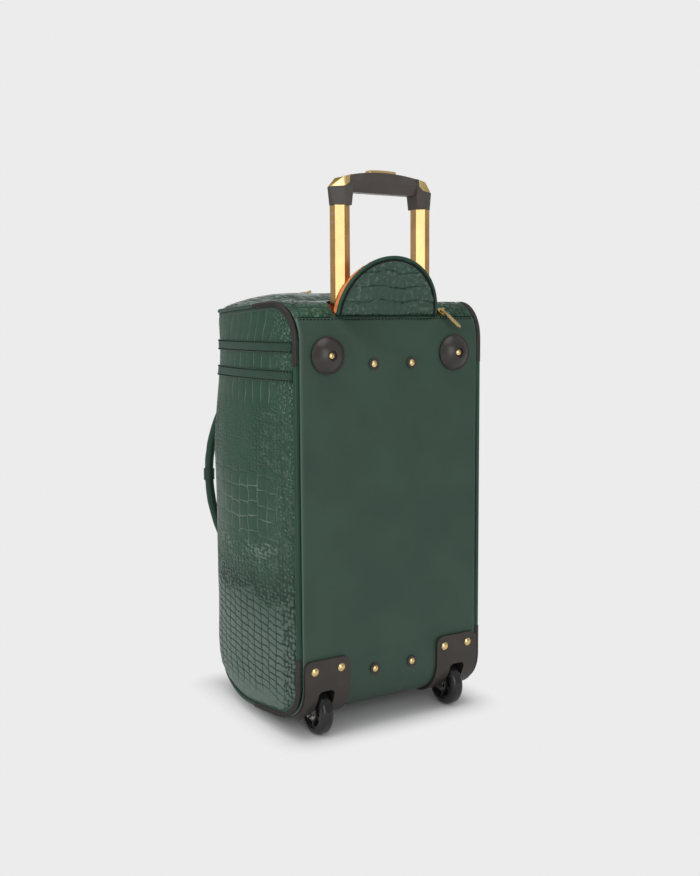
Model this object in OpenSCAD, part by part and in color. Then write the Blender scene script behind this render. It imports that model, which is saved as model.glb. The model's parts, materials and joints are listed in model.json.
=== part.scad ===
// Wheeled leather travel bag with a telescoping handle.
// Frame: X to the right as seen from behind the bag, Y from the back panel to the front, Z up.
// The origin lies on the floor, in the middle of the bag's footprint.

/* [Bag body] */
// Width of the back between its two side seams
bag_w = 262; // [240:1:290]
// Depth from the back panel to the front
bag_d = 247; // [210:1:270]
// Height of the back top corner above the floor
bag_top = 518; // [480:1:560]
// Clearance between the floor and the lowest line of the sagging bottom
bag_lift = 12; // [9:0.5:14]
// Clearance between the floor and the back corners, between the wheels
back_lift = 20.5; // [17:0.5:23]
// Radius of the back corners at top and bottom, seen from the side
corner_r = 47; // [44:1:52]
// Radius of the front corners, seen from above
front_r = 50; // [40:1:60]
// How far each side swells out between back and front
side_swell = 7; // [3:0.5:12]
// Fall of the top from the back corner to the front
top_fall = 8; // [2:0.5:12]
// Depth at which the bottom starts to rise towards the front
rise_start = 138; // [120:1:150]
// Radius of the rise under the front
rise_r = 180; // [160:1:240]
// Height that the padded top end swells
dome_rise = 16; // [8:0.5:20]
// Thickness of the padded leather skin
skin_t = 3; // [2:0.5:4]
// Height of the stitched hem where the back panel meets the top end
hem_z = 499; // [494:0.5:502]
// Thickness of the stiff board behind the back panel
board_t = 2; // [1.5:0.5:3]

/* [Seams and belts] */
// Diameter of the piping along the side seams
piping_d = 5.4; // [4:0.2:6]
// Diameter of the ribbed covers over the piping at the corners
cover_d = 7; // [6.4:0.2:8]
// Distance of the piping's centre inside the back and top faces
seam_in = 3.5; // [3.5:0.1:4.5]
// Distance of the piping's centre inside the side faces
seam_side_in = 1; // [0.5:0.1:2]
// How far the corner covers reach along the top and bottom
cover_reach = 91; // [80:1:125]
// Depth that the lower corner covers reach forward along the bottom
low_cover_reach = 101; // [90:1:125]
// How far the corner covers reach along the back edge, past the corner
cover_down = 25; // [6:1:40]
// Height of the upper belt's centre
upper_belt_z = 465; // [450:1:480]
// Height of the lower belt's centre
lower_belt_z = 432; // [410:1:440]
// Width of the two belts
belt_w = 14; // [10:1:18]
// Thickness of the two belts
belt_t = 1.6; // [1:0.2:2.4]

/* [Wheels] */
// Diameter of a wheel
wheel_d = 56; // [54:1:60]
// Width of a wheel's tread
wheel_w = 17.5; // [15:0.5:18.5]
// Distance of each wheel's middle from the bag's middle
wheel_x = 96; // [94:1:100]
// Distance of the axles in front of the back panel
axle_y = 22; // [20:0.5:25]
// Diameter of the axles
axle_d = 6; // [5:0.5:8]
// Number of spokes in a wheel
spokes = 5; // [4:1:8]

/* [Wheel housings] */
// Thickness of the housing's cover plate and cheeks
housing_t = 3; // [2:0.5:4]
// Width of the housing's cover plate
housing_w = 62; // [56:1:64]
// Height of the cover plate's upper edge
housing_top = 98; // [92:1:110]
// Width of the slot that the wheel turns in
slot_w = 22; // [20:0.5:24]
// Depth that the cover plate reaches under the bag
housing_reach = 64; // [60:1:72]

/* [Feet] */
// Diameter of the domed back feet
foot_d = 44; // [36:1:48]
// Height of the domed back feet
foot_h = 13; // [10:1:16]
// Distance of the back feet from the bag's middle
foot_x = 90; // [86:1:100]
// Height of the back feet above the floor
foot_z = 455; // [440:1:460]
// Diameter of the two stand feet under the front
stand_d = 26; // [20:1:32]
// Distance of the stand feet from the bag's middle
stand_x = 78; // [60:1:85]
// Distance of the stand feet in front of the back panel
stand_y = 182; // [165:1:190]

/* [Telescoping handle] */
// Distance of each tube's axis from the bag's middle
tube_x = 57; // [56:0.5:58]
// Distance of the tubes' axes in front of the back panel
tube_y = 26; // [25.5:0.5:27]
// Width of the gold inner tubes across their side flats
tube_w = 20; // [18:0.5:20]
// Wall of the tubes
tube_t = 1.2; // [0.8:0.1:1.4]
// Running gap between one tube and the next
tube_gap = 0.15; // [0.1:0.05:0.25]
// Height of the lower end of the outer channels
channel_z = 44; // [42:1:50]
// Height of the floor in the handle's well
well_floor = 476; // [470:1:478]
// Radius of the well's mouth
well_r = 74; // [73:0.5:76]
// Height that the handle is drawn out in the pose shown
handle_drawn = 148; // [100:1:180]
// Height of the grip's sockets
socket_h = 20.5; // [18:1:26]
// Half width of the grip at its lower edge and at its shoulders
grip_half = 68.5; // [67:0.5:70]
// Half width of the grip at its shoulders
shoulder_half = 72; // [71:0.5:73]
// Height of the grip's arched top above its lower edge
grip_h = 40; // [36:1:42]
// Height of the arched top where it meets the slanted corners
corner_h = 33; // [30:1:35]
// Height of the bar's flat underside
bar_low = 15.5; // [13:0.5:17]
// Depth of the grip from back to front
grip_d = 22; // [18:0.5:22]
// Length of the release button
button_l = 37; // [28:1:44]
// Travel of the release button
button_travel = 3; // [2:0.5:4]

/* [Flap] */
// Radius of the flap over the well
flap_r = 69.5; // [66:0.5:71]
// Thickness of the flap's leather
flap_t = 2.4; // [1.6:0.2:3]
// Depth of the flap's lined rim
rim_d = 6; // [5:0.5:6.5]
// Angle that the open flap leans back past upright
flap_lean = 14; // [6:1:30]

/* [Main zip and carry handles] */
// Width of the gap between the two halves of the wall
zip_gap = 9; // [8:0.5:12]
// Width of the woven zip tape
tape_w = 32; // [26:1:40]
// Depth at which the main zip starts on the top end
zip_start = 186; // [175:1:200]
// Distance of the carry handles from the bag's middle
carry_x = 95; // [90:1:100]
// Height of the carry handles' middle
carry_z = 285; // [260:1:300]
// Distance between the two ends of a carry handle
carry_span = 220; // [190:1:240]
// How far a carry handle stands out from its ends
carry_reach = 38; // [32:1:46]
// Diameter of the rolled leather carry handles
carry_d = 12; // [10:0.5:14]
// Angle that the carry handles lean out to the sides
carry_lean = 30; // [10:1:40]

/* [Hidden] */

$fn = 64;
eps = 0.01;
far = 400;
fit_gap = 0.3;
slide_gap = 0.03;

leather = [0.10, 0.25, 0.20];
croc = [0.08, 0.22, 0.17];
black = [0.07, 0.07, 0.07];
gold = [0.85, 0.66, 0.30];
orange = [0.93, 0.38, 0.12];
steel = [0.75, 0.75, 0.77];

// ---- Outlines of the bag ----
// Seen from above: a swelling side arc, a round front corner and a straight front.
swell_y = (bag_d - front_r) / 2;
swell_r = (swell_y * swell_y + side_swell * side_swell) / (2 * side_swell);
swell_cx = bag_w / 2 + side_swell - swell_r;
join_a = asin((bag_d - front_r - swell_y) / (swell_r - front_r));
front_cx = swell_cx + (swell_r - front_r) * cos(join_a);
front_cy = bag_d - front_r;
back_a = -asin(swell_y / swell_r);
seam_n = 8;

// Half width of the bag at depth y, moved in by inset.
function plan_x(y, inset) = swell_cx + sqrt(pow(swell_r - inset, 2) - pow(y - swell_y, 2));
// Angle on the swell arc of a point at depth y.
function swell_angle(y, inset) = asin((y - swell_y) / (swell_r - inset));
function arc2(cx, cy, r, a0, a1, n) =
    [for (i = [0:n]) let (a = a0 + (a1 - a0) * i / n) [cx + r * cos(a), cy + r * sin(a)]];
function plan_half(inset) = concat(
    arc2(swell_cx, swell_y, swell_r - inset, back_a, join_a * (seam_n - 1) / seam_n, seam_n),
    arc2(front_cx, front_cy, front_r - inset, join_a, 90, seam_n));
function mirrored(points) =
    [for (i = [len(points) - 1:-1:0]) [-points[i][0], points[i][1]]];
function plan_points(inset) = concat(plan_half(inset), mirrored(plan_half(inset)));

// Seen from the side, as [y, z]: round back corners, a falling top, and a bottom that sags
// from the back corner to its lowest line at rise_start and rises from there to the front.
low_z = back_lift + corner_r;
rise_z = bag_lift + rise_r;
// Slope of the straight stretch that touches both the back corner's arc and the rising one.
sag_a = atan2(rise_start - corner_r, rise_z - low_z)
    - acos((rise_r - corner_r) / norm([rise_start - corner_r, rise_z - low_z]));
high_z = bag_top - corner_r;
front_y = bag_d + 20;
rise_a = asin((front_y - rise_start) / rise_r);
function top_z(y, inset) = bag_top - inset - top_fall * (y - corner_r) / (bag_d - corner_r);
function bottom_z(y, inset) = let (
    y0 = corner_r - (corner_r - inset) * sin(sag_a), y1 = rise_start - (rise_r - inset) * sin(sag_a))
    y < y1 ? low_z - (corner_r - inset) * cos(sag_a) - (y - y0) * tan(sag_a)
    : rise_z - sqrt(pow(rise_r - inset, 2) - pow(y - rise_start, 2));
function side_points(inset) = concat(
    arc2(corner_r, high_z, corner_r - inset, 90, 180, 2 * seam_n),
    arc2(corner_r, low_z, corner_r - inset, 180, 270 - sag_a, 2 * seam_n),
    arc2(rise_start, rise_z, rise_r - inset, 270 - sag_a, 270 + rise_a, seam_n + 2),
    [[front_y, top_z(front_y, inset)]]);

// Moves the bag's own frame, with its zero at the back panel, to the middle of the footprint.
carry_anchor_y = bag_d + 8;
keeper_t = 1.4;
keeper_y = carry_anchor_y + carry_reach * cos(carry_lean) + carry_d / 2 + keeper_t;
middle_y = (keeper_y - foot_h) / 2;
module in_frame() {
    translate([0, -middle_y, 0]) children();
}
module along_x(length) {
    rotate([90, 0, 90]) linear_extrude(length, center = true) children();
}
module along_y(y0, y1) {
    translate([0, y1, 0]) rotate([90, 0, 0]) linear_extrude(y1 - y0) children();
}
module side_prism(inset, width = 2 * far) {
    along_x(width) polygon(side_points(inset));
}
module plan_prism(inset) {
    linear_extrude(bag_top + 60) polygon(plan_points(inset));
}
module sided(side) {
    mirror([side < 0 ? 1 : 0, 0, 0]) children();
}
module both_sides() {
    for (side = [-1, 1]) sided(side) children();
}
module block(x0, x1, y0, y1, z0, z1) {
    translate([x0, y0, z0]) cube([x1 - x0, y1 - y0, z1 - z0]);
}
// A square-bottomed panel outline with two round upper corners.
module round_top(x0, x1, z0, z1, r) {
    translate([x0, z0]) square([x1 - x0, z1 - z0 - r]);
    translate([x0 + r, z1 - r - eps]) square([x1 - x0 - 2 * r, r + eps]);
    for (x = [x0 + r, x1 - r]) translate([x, z1 - r]) circle(r);
}
module half_disc(r) {
    intersection() {
        circle(r);
        translate([-far, 0]) square([2 * far, far]);
    }
}

// ---- Seam path and swept tubes ----
edge_in = seam_in + cover_d / 2 + fit_gap;
strip_in = seam_side_in + cover_d / 2 + fit_gap;
corner_seam_r = corner_r - seam_in;
front_seam_y = bag_d - seam_side_in;
zip_clear = zip_gap / 2 + 4;
// The bottom covers reach this much further up the back corners than the top ones come down.
low_cover_more = 6.5;

function top_point(p) = [p[0], p[1], top_z(p[1], seam_in)];
function bottom_point(p) = [p[0], p[1], bottom_z(p[1], seam_in)];
function side_arc(y0, y1, n) = [for (i = [0:n]) let (y = y0 + (y1 - y0) * i / n)
    [plan_x(y, seam_side_in), y]];
function corner_arc(cz, a0, a1, n) = [for (i = [0:n]) let (
    a = a0 + (a1 - a0) * i / n, y = corner_r + corner_seam_r * cos(a))
    [plan_x(y, seam_side_in), y, cz + corner_seam_r * sin(a)]];
join_y = swell_y + (swell_r - seam_side_in) * sin(join_a);
front_run = [for (i = [seam_n:-1:1]) let (a = join_a + (90 - join_a) * i / seam_n)
    [front_cx + (front_r - seam_side_in) * cos(a), front_cy + (front_r - seam_side_in) * sin(a)]];
back_x = plan_x(seam_in, seam_side_in);
// The stretches of one half of the seam, from the zip over the top and back under the bottom.
top_front_path = concat([[zip_clear, front_seam_y]], front_run, side_arc(join_y, cover_reach, 4));
top_cover_path = concat(
    [for (p = side_arc(cover_reach, corner_r, 3)) top_point(p)],
    [for (i = [1:seam_n]) corner_arc(high_z, 90, 180, seam_n)[i]],
    [[back_x, seam_in, high_z - cover_down]]);
bottom_cover_path = concat(
    [[back_x, seam_in, low_z + cover_down + low_cover_more]],
    corner_arc(low_z, 180, 270 - sag_a, seam_n),
    [for (i = [1:3]) bottom_point(side_arc(corner_r, low_cover_reach, 3)[i])]);
bottom_front_path = concat(side_arc(low_cover_reach, join_y, 4),
    [for (i = [seam_n - 1:-1:0]) front_run[i]], [[0, front_seam_y]]);
seam_path = concat(
    [for (i = [0:len(top_front_path) - 2]) top_point(top_front_path[i])],
    top_cover_path, bottom_cover_path,
    [for (i = [1:len(bottom_front_path) - 1]) bottom_point(bottom_front_path[i])]);
top_cover_at = len(top_front_path) - 1;
bottom_cover_at = top_cover_at + len(top_cover_path);

function unit(v) = v / norm(v);
function tangent(path, i) = unit(path[min(i + 1, len(path) - 1)] - path[max(i - 1, 0)]);
// A ring of points round path[i], square to the path and turned towards the bag's middle.
function ring(path, i, r, sides) = let (
    p = path[i], t = tangent(path, i),
    u = unit(cross(t, p - [0, bag_d / 2, bag_top / 2])), v = cross(t, u))
    [for (k = [0:sides - 1]) p + r * (cos(360 * k / sides) * u + sin(360 * k / sides) * v)];
module swept(path, first, last, r, sides = 8) {
    count = last - first + 1;
    points = [for (i = [first:last]) each ring(path, i, r, sides)];
    faces = concat(
        [[for (k = [0:sides - 1]) k]],
        [for (i = [0:count - 2], k = [0:sides - 1]) let (m = (k + 1) % sides)
            [i * sides + k, (i + 1) * sides + k, (i + 1) * sides + m, i * sides + m]],
        [[for (k = [sides - 1:-1:0]) (count - 1) * sides + k]]);
    polyhedron(points, faces);
}

// ---- Skin of the bag ----
module strip() {
    intersection() {
        difference() {
            side_prism(0);
            side_prism(skin_t);
        }
        plan_prism(strip_in);
    }
}
panel_reach = 70;
module base_panel() in_frame() color(leather) {
    difference() {
        intersection() {
            strip();
            block(-far, far, -eps, panel_reach, -eps, hem_z);
        }
        both_sides() wheel_box(fit_gap);
        rivet_bores();
    }
}
module bottom_end() in_frame() color(croc) {
    intersection() {
        strip();
        block(-far, far, panel_reach, far, -eps, low_z);
    }
}

dome_y = (panel_reach + bag_d) / 2 - 8;
dome_half = 92;
dome_base = bag_top - 2;
dome_r = (pow(dome_half, 2) + pow(dome_rise, 2)) / (2 * dome_rise);
dome_side_r = (pow(bag_w / 2, 2) + pow(dome_rise, 2)) / (2 * dome_rise);
// A barrel about X, round from side to side too.
module barrel(inset) {
    translate([0, dome_y, dome_base + dome_rise - dome_r]) rotate([0, 90, 0])
        rotate_extrude($fn = 180) intersection() {
            translate([dome_r - dome_side_r, 0]) circle(dome_side_r - inset, $fn = 180);
            translate([0, -bag_w / 2]) square([far, bag_w]);
        }
}
// The well's outline: a half disc to the front of well_y, carried on by back behind it.
module well_prism(r, back, z0, z1) {
    translate([0, well_y, z0]) linear_extrude(z1 - z0)
        polygon(concat(arc2(0, 0, r, 0, 180, 4 * seam_n), [[-r, -back], [r, -back]]));
}
// The dome over the top end, and the hollow under it.
module dome_body() {
    intersection() {
        barrel(0);
        plan_prism(strip_in);
        block(-far, far, corner_r, far, dome_base - skin_t, far * 2);
    }
}
module dome_hollow() {
    intersection() {
        barrel(skin_t);
        block(-far, far, corner_r, far, dome_base - skin_t - top_fall - 1, far * 2);
    }
}
module top_end() in_frame() color(croc) {
    difference() {
        union() {
            intersection() {
                strip();
                block(-far, far, -eps, far, hem_z + fit_gap, far * 2);
            }
            dome_body();
        }
        dome_hollow();
        well_prism(well_r, far, hem_z - 10, far * 2);
        block(-zip_gap / 2, zip_gap / 2, zip_start, far, dome_base - 20, far * 2);
    }
}
module wall_half(side) {
    intersection() {
        difference() {
            plan_prism(0);
            plan_prism(skin_t);
        }
        side_prism(edge_in);
        sided(side) block(zip_gap / 2, far, -eps, far, 0, far * 2);
    }
}
module wall_left() in_frame() color(croc) wall_half(-1);
module wall_right() in_frame() color(croc) wall_half(1);

module belt(z) {
    intersection() {
        difference() {
            plan_prism(-belt_t);
            plan_prism(0);
        }
        side_prism(edge_in);
        both_sides() block(zip_gap / 2, far, -eps, far, z - belt_w / 2, z + belt_w / 2);
    }
}
module upper_belts() in_frame() color(leather) belt(upper_belt_z);
module lower_belts() in_frame() color(leather) belt(lower_belt_z);

module piping(side) {
    sided(side) swept(seam_path, 0, len(seam_path) - 1, piping_d / 2);
}
module piping_left() in_frame() color(leather) piping(-1);
module piping_right() in_frame() color(leather) piping(1);
module corner_covers(first, count) {
    both_sides() difference() {
        swept(seam_path, first, first + count - 1, cover_d / 2);
        swept(seam_path, first - 1, first + count, piping_d / 2);
    }
}
module top_corner_covers() in_frame() color(black)
    corner_covers(top_cover_at, len(top_cover_path));
module bottom_corner_covers() in_frame() color(black)
    corner_covers(bottom_cover_at, len(bottom_cover_path));

// ---- Back panel fittings ----
board_z0 = 68;
board_top = foot_z + 12;
board_y = skin_t + board_t;
trolley_rivet_x = 27;
trolley_rivet_z = [74, 444];
housing_rivet_x = [wheel_x - 20, wheel_x + 16];
housing_rivet_z = housing_top - 13;
rivet_d = 4;
module at_trolley_rivets() {
    for (z = trolley_rivet_z) both_sides() translate([trolley_rivet_x, 0, z]) children();
}
module at_housing_rivets() {
    for (x = housing_rivet_x) both_sides() translate([x, 0, housing_rivet_z]) children();
}
module at_back_feet() {
    both_sides() translate([foot_x, 0, foot_z]) children();
}
// A pin along Y from y0 to y1.
module pin_y(d, y0, y1) {
    translate([0, y0, 0]) rotate([-90, 0, 0]) cylinder(y1 - y0, d = d);
}
module rivet_bores() {
    at_trolley_rivets() pin_y(rivet_d, -1, board_y + 1);
    at_housing_rivets() pin_y(rivet_d, -1, board_y + 1);
    at_back_feet() pin_y(rivet_d, -1, board_y + 1);
}
module base_board() in_frame() color([0.3, 0.3, 0.3]) {
    difference() {
        block(-bag_w / 2 + 12, bag_w / 2 - 12, skin_t, board_y, board_z0, board_top);
        rivet_bores();
    }
}
// A low domed rivet head whose flat side lies at y, with its shank to y1.
module domed_rivet(head_d, head_h, y, y1) {
    ball_r = (pow(head_d / 2, 2) + pow(head_h, 2)) / (2 * head_h);
    intersection() {
        translate([0, y + ball_r - head_h, 0]) sphere(ball_r);
        pin_y(head_d + 1, y - head_h - 1, y);
    }
    pin_y(rivet_d, y - eps, y1);
}
washer_t = 1.2;
module trolley_washers() in_frame() color(black) at_trolley_rivets() difference() {
    pin_y(14, -washer_t, 0);
    pin_y(rivet_d, -washer_t - 1, 1);
}
module trolley_rivets() in_frame() color(gold)
    at_trolley_rivets() domed_rivet(8, 1.8, -washer_t, web_y);
housing_rivet_w = 10;
module housing_rivets() in_frame() color(gold)
    at_housing_rivets() domed_rivet(housing_rivet_w, 2, -housing_t, board_y);

recess_d = 12;
recess_h = 3;
// Height of a foot's rim, and the radius of the ball that its dome is cut from.
foot_rim = 2.5;
foot_ball = (pow(foot_d / 2 - 1.2, 2) + pow(foot_h - foot_rim, 2)) / (2 * (foot_h - foot_rim));
module back_foot(side) {
    sided(side) translate([foot_x, 0, foot_z]) rotate([90, 0, 0]) difference() {
        union() {
            cylinder(foot_rim, d = foot_d);
            intersection() {
                translate([0, 0, foot_h - foot_ball]) sphere(foot_ball);
                cylinder(foot_h, d = foot_d);
            }
        }
        translate([0, 0, foot_h - recess_h]) cylinder(foot_h, d = recess_d);
        translate([0, 0, -1]) cylinder(foot_h, d = rivet_d);
    }
}
module back_foot_left() in_frame() color(black) back_foot(-1);
module back_foot_right() in_frame() color(black) back_foot(1);
module foot_screws() in_frame() color(gold)
    at_back_feet() domed_rivet(8.2, 1.8, recess_h - foot_h, board_y);

// ---- Wheels and housings ----
wheel_r = wheel_d / 2;
axle_z = wheel_r;
well_clear = 3.5;
cavity_r = wheel_r + well_clear;
slot_x0 = wheel_x - slot_w / 2;
slot_x1 = wheel_x + slot_w / 2;
plate_x0 = wheel_x - housing_w / 2 - 1;
plate_x1 = plate_x0 + housing_w;
// An L-shaped well round the wheel, open to the back and below.
module wheel_space(grow, x0, x1) {
    r = cavity_r + grow;
    translate([x0, axle_y, axle_z]) rotate([0, 90, 0]) cylinder(x1 - x0, r = r);
    block(x0, x1, -far, axle_y, -far, axle_z + r);
    block(x0, x1, -far, axle_y + r, -far, axle_z);
}
module wheel_box(gap) {
    wheel_space(housing_t + gap, slot_x0 - housing_t - gap, slot_x1 + housing_t + gap);
}
// Height of the axles' heads, sunk flush into the housings' cheeks.
axle_head = 1.4;
module axle_pin(d, x0, x1) {
    translate([x0, axle_y, axle_z]) rotate([0, 90, 0]) cylinder(x1 - x0, d = d);
}
module wheel_housing(side) {
    sided(side) difference() {
        union() {
            intersection() {
                difference() {
                    side_prism(-housing_t);
                    side_prism(0);
                }
                along_y(-housing_t - 1, housing_reach)
                    round_top(plate_x0, plate_x1, -far, housing_top, 10);
            }
            intersection() {
                wheel_box(0);
                side_prism(-eps);
                block(0, far, -eps, far, 0, far);
            }
            axle_pin(axle_d + 7, slot_x0 - housing_t, slot_x1 + housing_t);
        }
        intersection() {
            wheel_space(0, slot_x0, slot_x1);
            along_y(-far, far) round_top(slot_x0, slot_x1, -far, axle_z + cavity_r, 6);
        }
        axle_pin(axle_d, slot_x0 - housing_t - 1, slot_x1 + housing_t + 1);
        for (x = [slot_x0 - housing_t, slot_x1 + housing_t])
            axle_pin(axle_d + 4, x - axle_head, x + axle_head);
        for (x = housing_rivet_x) translate([x, 0, housing_rivet_z]) pin_y(rivet_d, -far, far);
    }
}
module wheel_housing_left() in_frame() color(black) wheel_housing(-1);
module wheel_housing_right() in_frame() color(black) wheel_housing(1);
module axles() in_frame() color(steel) both_sides() {
    axle_pin(axle_d, slot_x0 - housing_t, slot_x1 + housing_t);
    axle_pin(axle_d + 4, slot_x0 - housing_t, slot_x0 - housing_t + axle_head);
    axle_pin(axle_d + 4, slot_x1 + housing_t - axle_head, slot_x1 + housing_t);
}

rim_r = wheel_r - 8;
bearing_d = 19;
bearing_w = 6;
module at_wheel(side) {
    sided(side) translate([wheel_x, axle_y, axle_z]) rotate([0, 90, 0]) children();
}
module tyre(side) {
    tread_r = 6;
    at_wheel(side) rotate_extrude() difference() {
        union() {
            translate([0, -wheel_w / 2]) square([wheel_r - tread_r, wheel_w]);
            square([2 * wheel_r, wheel_w - 2 * tread_r], center = true);
            for (h = [-1, 1]) translate([wheel_r - tread_r, h * (wheel_w / 2 - tread_r)]) circle(tread_r);
        }
        translate([-far, -far]) square([far + rim_r, 2 * far]);
    }
}
module tyre_left() in_frame() color(black) tyre(-1);
module tyre_right() in_frame() color(black) tyre(1);
module hub(side) {
    barrel_r = bearing_d / 2 + 2.5;
    at_wheel(side) difference() {
        union() {
            cylinder(wheel_w, r = barrel_r, center = true);
            cylinder(4, r = rim_r, center = true);
            difference() {
                cylinder(wheel_w - 3, r = rim_r, center = true);
                cylinder(wheel_w, r = rim_r - 2.5, center = true);
            }
            for (i = [0:spokes - 1]) rotate(360 * i / spokes)
                translate([barrel_r - 1, -2, 2 - wheel_w / 2])
                    cube([rim_r - barrel_r, 4, wheel_w - 4]);
        }
        for (end = [-1, 1]) translate([0, 0, end * (wheel_w - bearing_w) / 2])
            cylinder(bearing_w + eps, d = bearing_d, center = true);
        cylinder(far, d = axle_d + 5, center = true);
    }
}
module hub_left() in_frame() color(black) hub(-1);
module hub_right() in_frame() color(black) hub(1);
module bearings(side) {
    at_wheel(side) for (end = [-1, 1]) translate([0, 0, end * (wheel_w - bearing_w) / 2])
        rotate_extrude() difference() {
            translate([axle_d / 2 + slide_gap, -bearing_w / 2])
                square([bearing_d / 2 - axle_d / 2 - slide_gap, bearing_w]);
            for (face = [-1, 1]) translate([axle_d / 2 + 1.6, face * bearing_w / 2 - 0.4])
                square([bearing_d / 2 - axle_d / 2 - 3.2, 0.8]);
        }
}
module bearings_left() in_frame() color(steel) bearings(-1);
module bearings_right() in_frame() color(steel) bearings(1);

module stand_feet() in_frame() color(black) both_sides() difference() {
    translate([stand_x, stand_y, 0]) {
        translate([0, 0, 2]) cylinder(40, d = stand_d);
        cylinder(2 + eps, d1 = stand_d - 4, d2 = stand_d);
    }
    side_prism(0);
}

// ---- Telescoping handle ----
// Flat-sided hexagonal section with its ridges at the back and front; w is its width.
ridge = 1.06;
flat = 0.6;
function hexagon(w, dx = 0) = let (h = w / 2) [
    [dx + h, -flat * h], [dx + h, flat * h], [dx, ridge * h],
    [dx - h, flat * h], [dx - h, -flat * h], [dx, -ridge * h]];
middle_w = tube_w + 2 * tube_gap + 2 * tube_t;
channel_in = middle_w + 2 * tube_gap;
channel_w = channel_in + 2 * tube_t;
collar_w = middle_w + 1;
collar_h = 3.5;
grip_z = well_floor + 4 + handle_drawn;
tube_foot = channel_z + 14;
well_y = 12.4;
well_t = 0.9;
module hex_bar(w, z0, z1) {
    translate([tube_x, tube_y, z0]) linear_extrude(z1 - z0) polygon(hexagon(w));
}
module hex_tube(outer, inner, z0, z1) {
    difference() {
        hex_bar(outer, z0, z1);
        hex_bar(inner, z0 - 1, z1 + 1);
    }
}
bracket_t = 3;
web_y = board_y + 4;
channel_top = well_floor - 2;
module channel(side) {
    sided(side) hex_tube(channel_w, channel_in, channel_z, channel_top);
}
module channel_left() in_frame() color(steel) channel(-1);
module channel_right() in_frame() color(steel) channel(1);
// A moulded cross-piece between z0 and z1 that holds both channels against the board.
module bracket(z0, z1, web_z0, web_z1) {
    half = tube_x + channel_w / 2 + bracket_t;
    difference() {
        union() {
            block(-half, half, board_y, web_y, web_z0, web_z1);
            both_sides() block(tube_x - channel_w / 2 - bracket_t, half, board_y,
                tube_y + channel_w / 2 + bracket_t, z0, z1);
            for (x = [-16, 0, 16]) block(x - 1, x + 1, board_y, board_y + 14, web_z0, web_z1);
        }
        both_sides() hex_bar(channel_w, -far, far * 2);
        at_trolley_rivets() pin_y(rivet_d, 0, web_y + 1);
    }
}
module top_bracket() in_frame() color(black)
    bracket(channel_top - 24, channel_top, trolley_rivet_z[1] - 10, channel_top);
module bottom_bracket() in_frame() color(black)
    bracket(channel_z + 12, trolley_rivet_z[0] + 12, board_z0, trolley_rivet_z[0] + 12);
module handle_well() in_frame() color(orange) {
    difference() {
        intersection() {
            well_prism(well_r + well_t, 0, channel_top, far * 2);
            union() {
                side_prism(skin_t);
                dome_hollow();
            }
        }
        difference() {
            dome_body();
            dome_hollow();
        }
        intersection() {
            well_prism(well_r, 0, well_floor, far * 2);
            block(-far, far, well_y + well_t, far, 0, far * 2);
        }
        block(-far, far, -far, well_y + well_t, hem_z - 1, far * 2);
        both_sides() hex_bar(middle_w + 2 * fit_gap, 0, far * 2);
        both_sides() hex_bar(collar_w + fit_gap, well_floor, far * 2);
    }
}

module middle_tube(side) {
    sided(side) hex_tube(middle_w, tube_w + 2 * tube_gap, channel_z + 6, well_floor);
}
module middle_tube_left() in_frame() color(gold) middle_tube(-1);
module middle_tube_right() in_frame() color(gold) middle_tube(1);
module middle_collars() in_frame() color(black)
    both_sides() hex_tube(collar_w, tube_w + 2 * tube_gap, well_floor, well_floor + collar_h);

inner_foot = tube_foot + handle_drawn;
tube_rivet_z = [10, 20];
tube_rivet_d = 3;
rod_d = 5;
module inner_tube(side) {
    sided(side) difference() {
        hex_tube(tube_w, tube_w - 2 * tube_t, inner_foot, grip_z);
        for (z = tube_rivet_z) translate([tube_x, tube_y, grip_z - z]) rotate([0, 90, 0])
            cylinder(far, d = tube_rivet_d);
    }
}
module inner_tube_left() in_frame() color(gold) inner_tube(-1);
module inner_tube_right() in_frame() color(gold) inner_tube(1);
module tube_rivets() in_frame() color(steel) both_sides()
    for (z = tube_rivet_z) translate([tube_x + tube_w / 2 - tube_t, tube_y, grip_z - z])
        rotate([0, 90, 0]) cylinder(tube_t + 0.1, d = tube_rivet_d);
spigot_h = 26;
plug_h = 24;
plug_foot = 4;
module inner_plugs() in_frame() color(black) both_sides() difference() {
    union() {
        hex_bar(tube_w - 2 * tube_t, inner_foot, inner_foot + plug_h);
        hex_bar(tube_w, inner_foot - plug_foot, inner_foot);
    }
    translate([tube_x, tube_y, inner_foot - plug_foot - 1]) cylinder(far, d = rod_d + 2);
}

// The grip's top is part of a cylinder about an axis along Y, cut off slanting at the corners.
arch_r = (pow(tube_x, 2) + pow(grip_h - corner_h, 2)) / (2 * (grip_h - corner_h));
arch_cz = grip_z + grip_h - arch_r;
arch_a = asin(tube_x / arch_r);
// A hexagonal ring between r0 and r1 about that axis.
module arch(r0, r1, half_y, ridge_y, a) {
    translate([0, tube_y, arch_cz]) rotate([90, 0, 0]) rotate([0, 0, 90 - a])
        rotate_extrude(angle = 2 * a, $fn = 180) polygon([
            [r0, -half_y], [(r0 + r1) / 2, -ridge_y], [r1, -half_y],
            [r1, half_y], [(r0 + r1) / 2, ridge_y], [r0, half_y]]);
}
socket_in = tube_x - tube_w / 2;
shoulder_drop = 0.4;
shoulder_d = 5;
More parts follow.
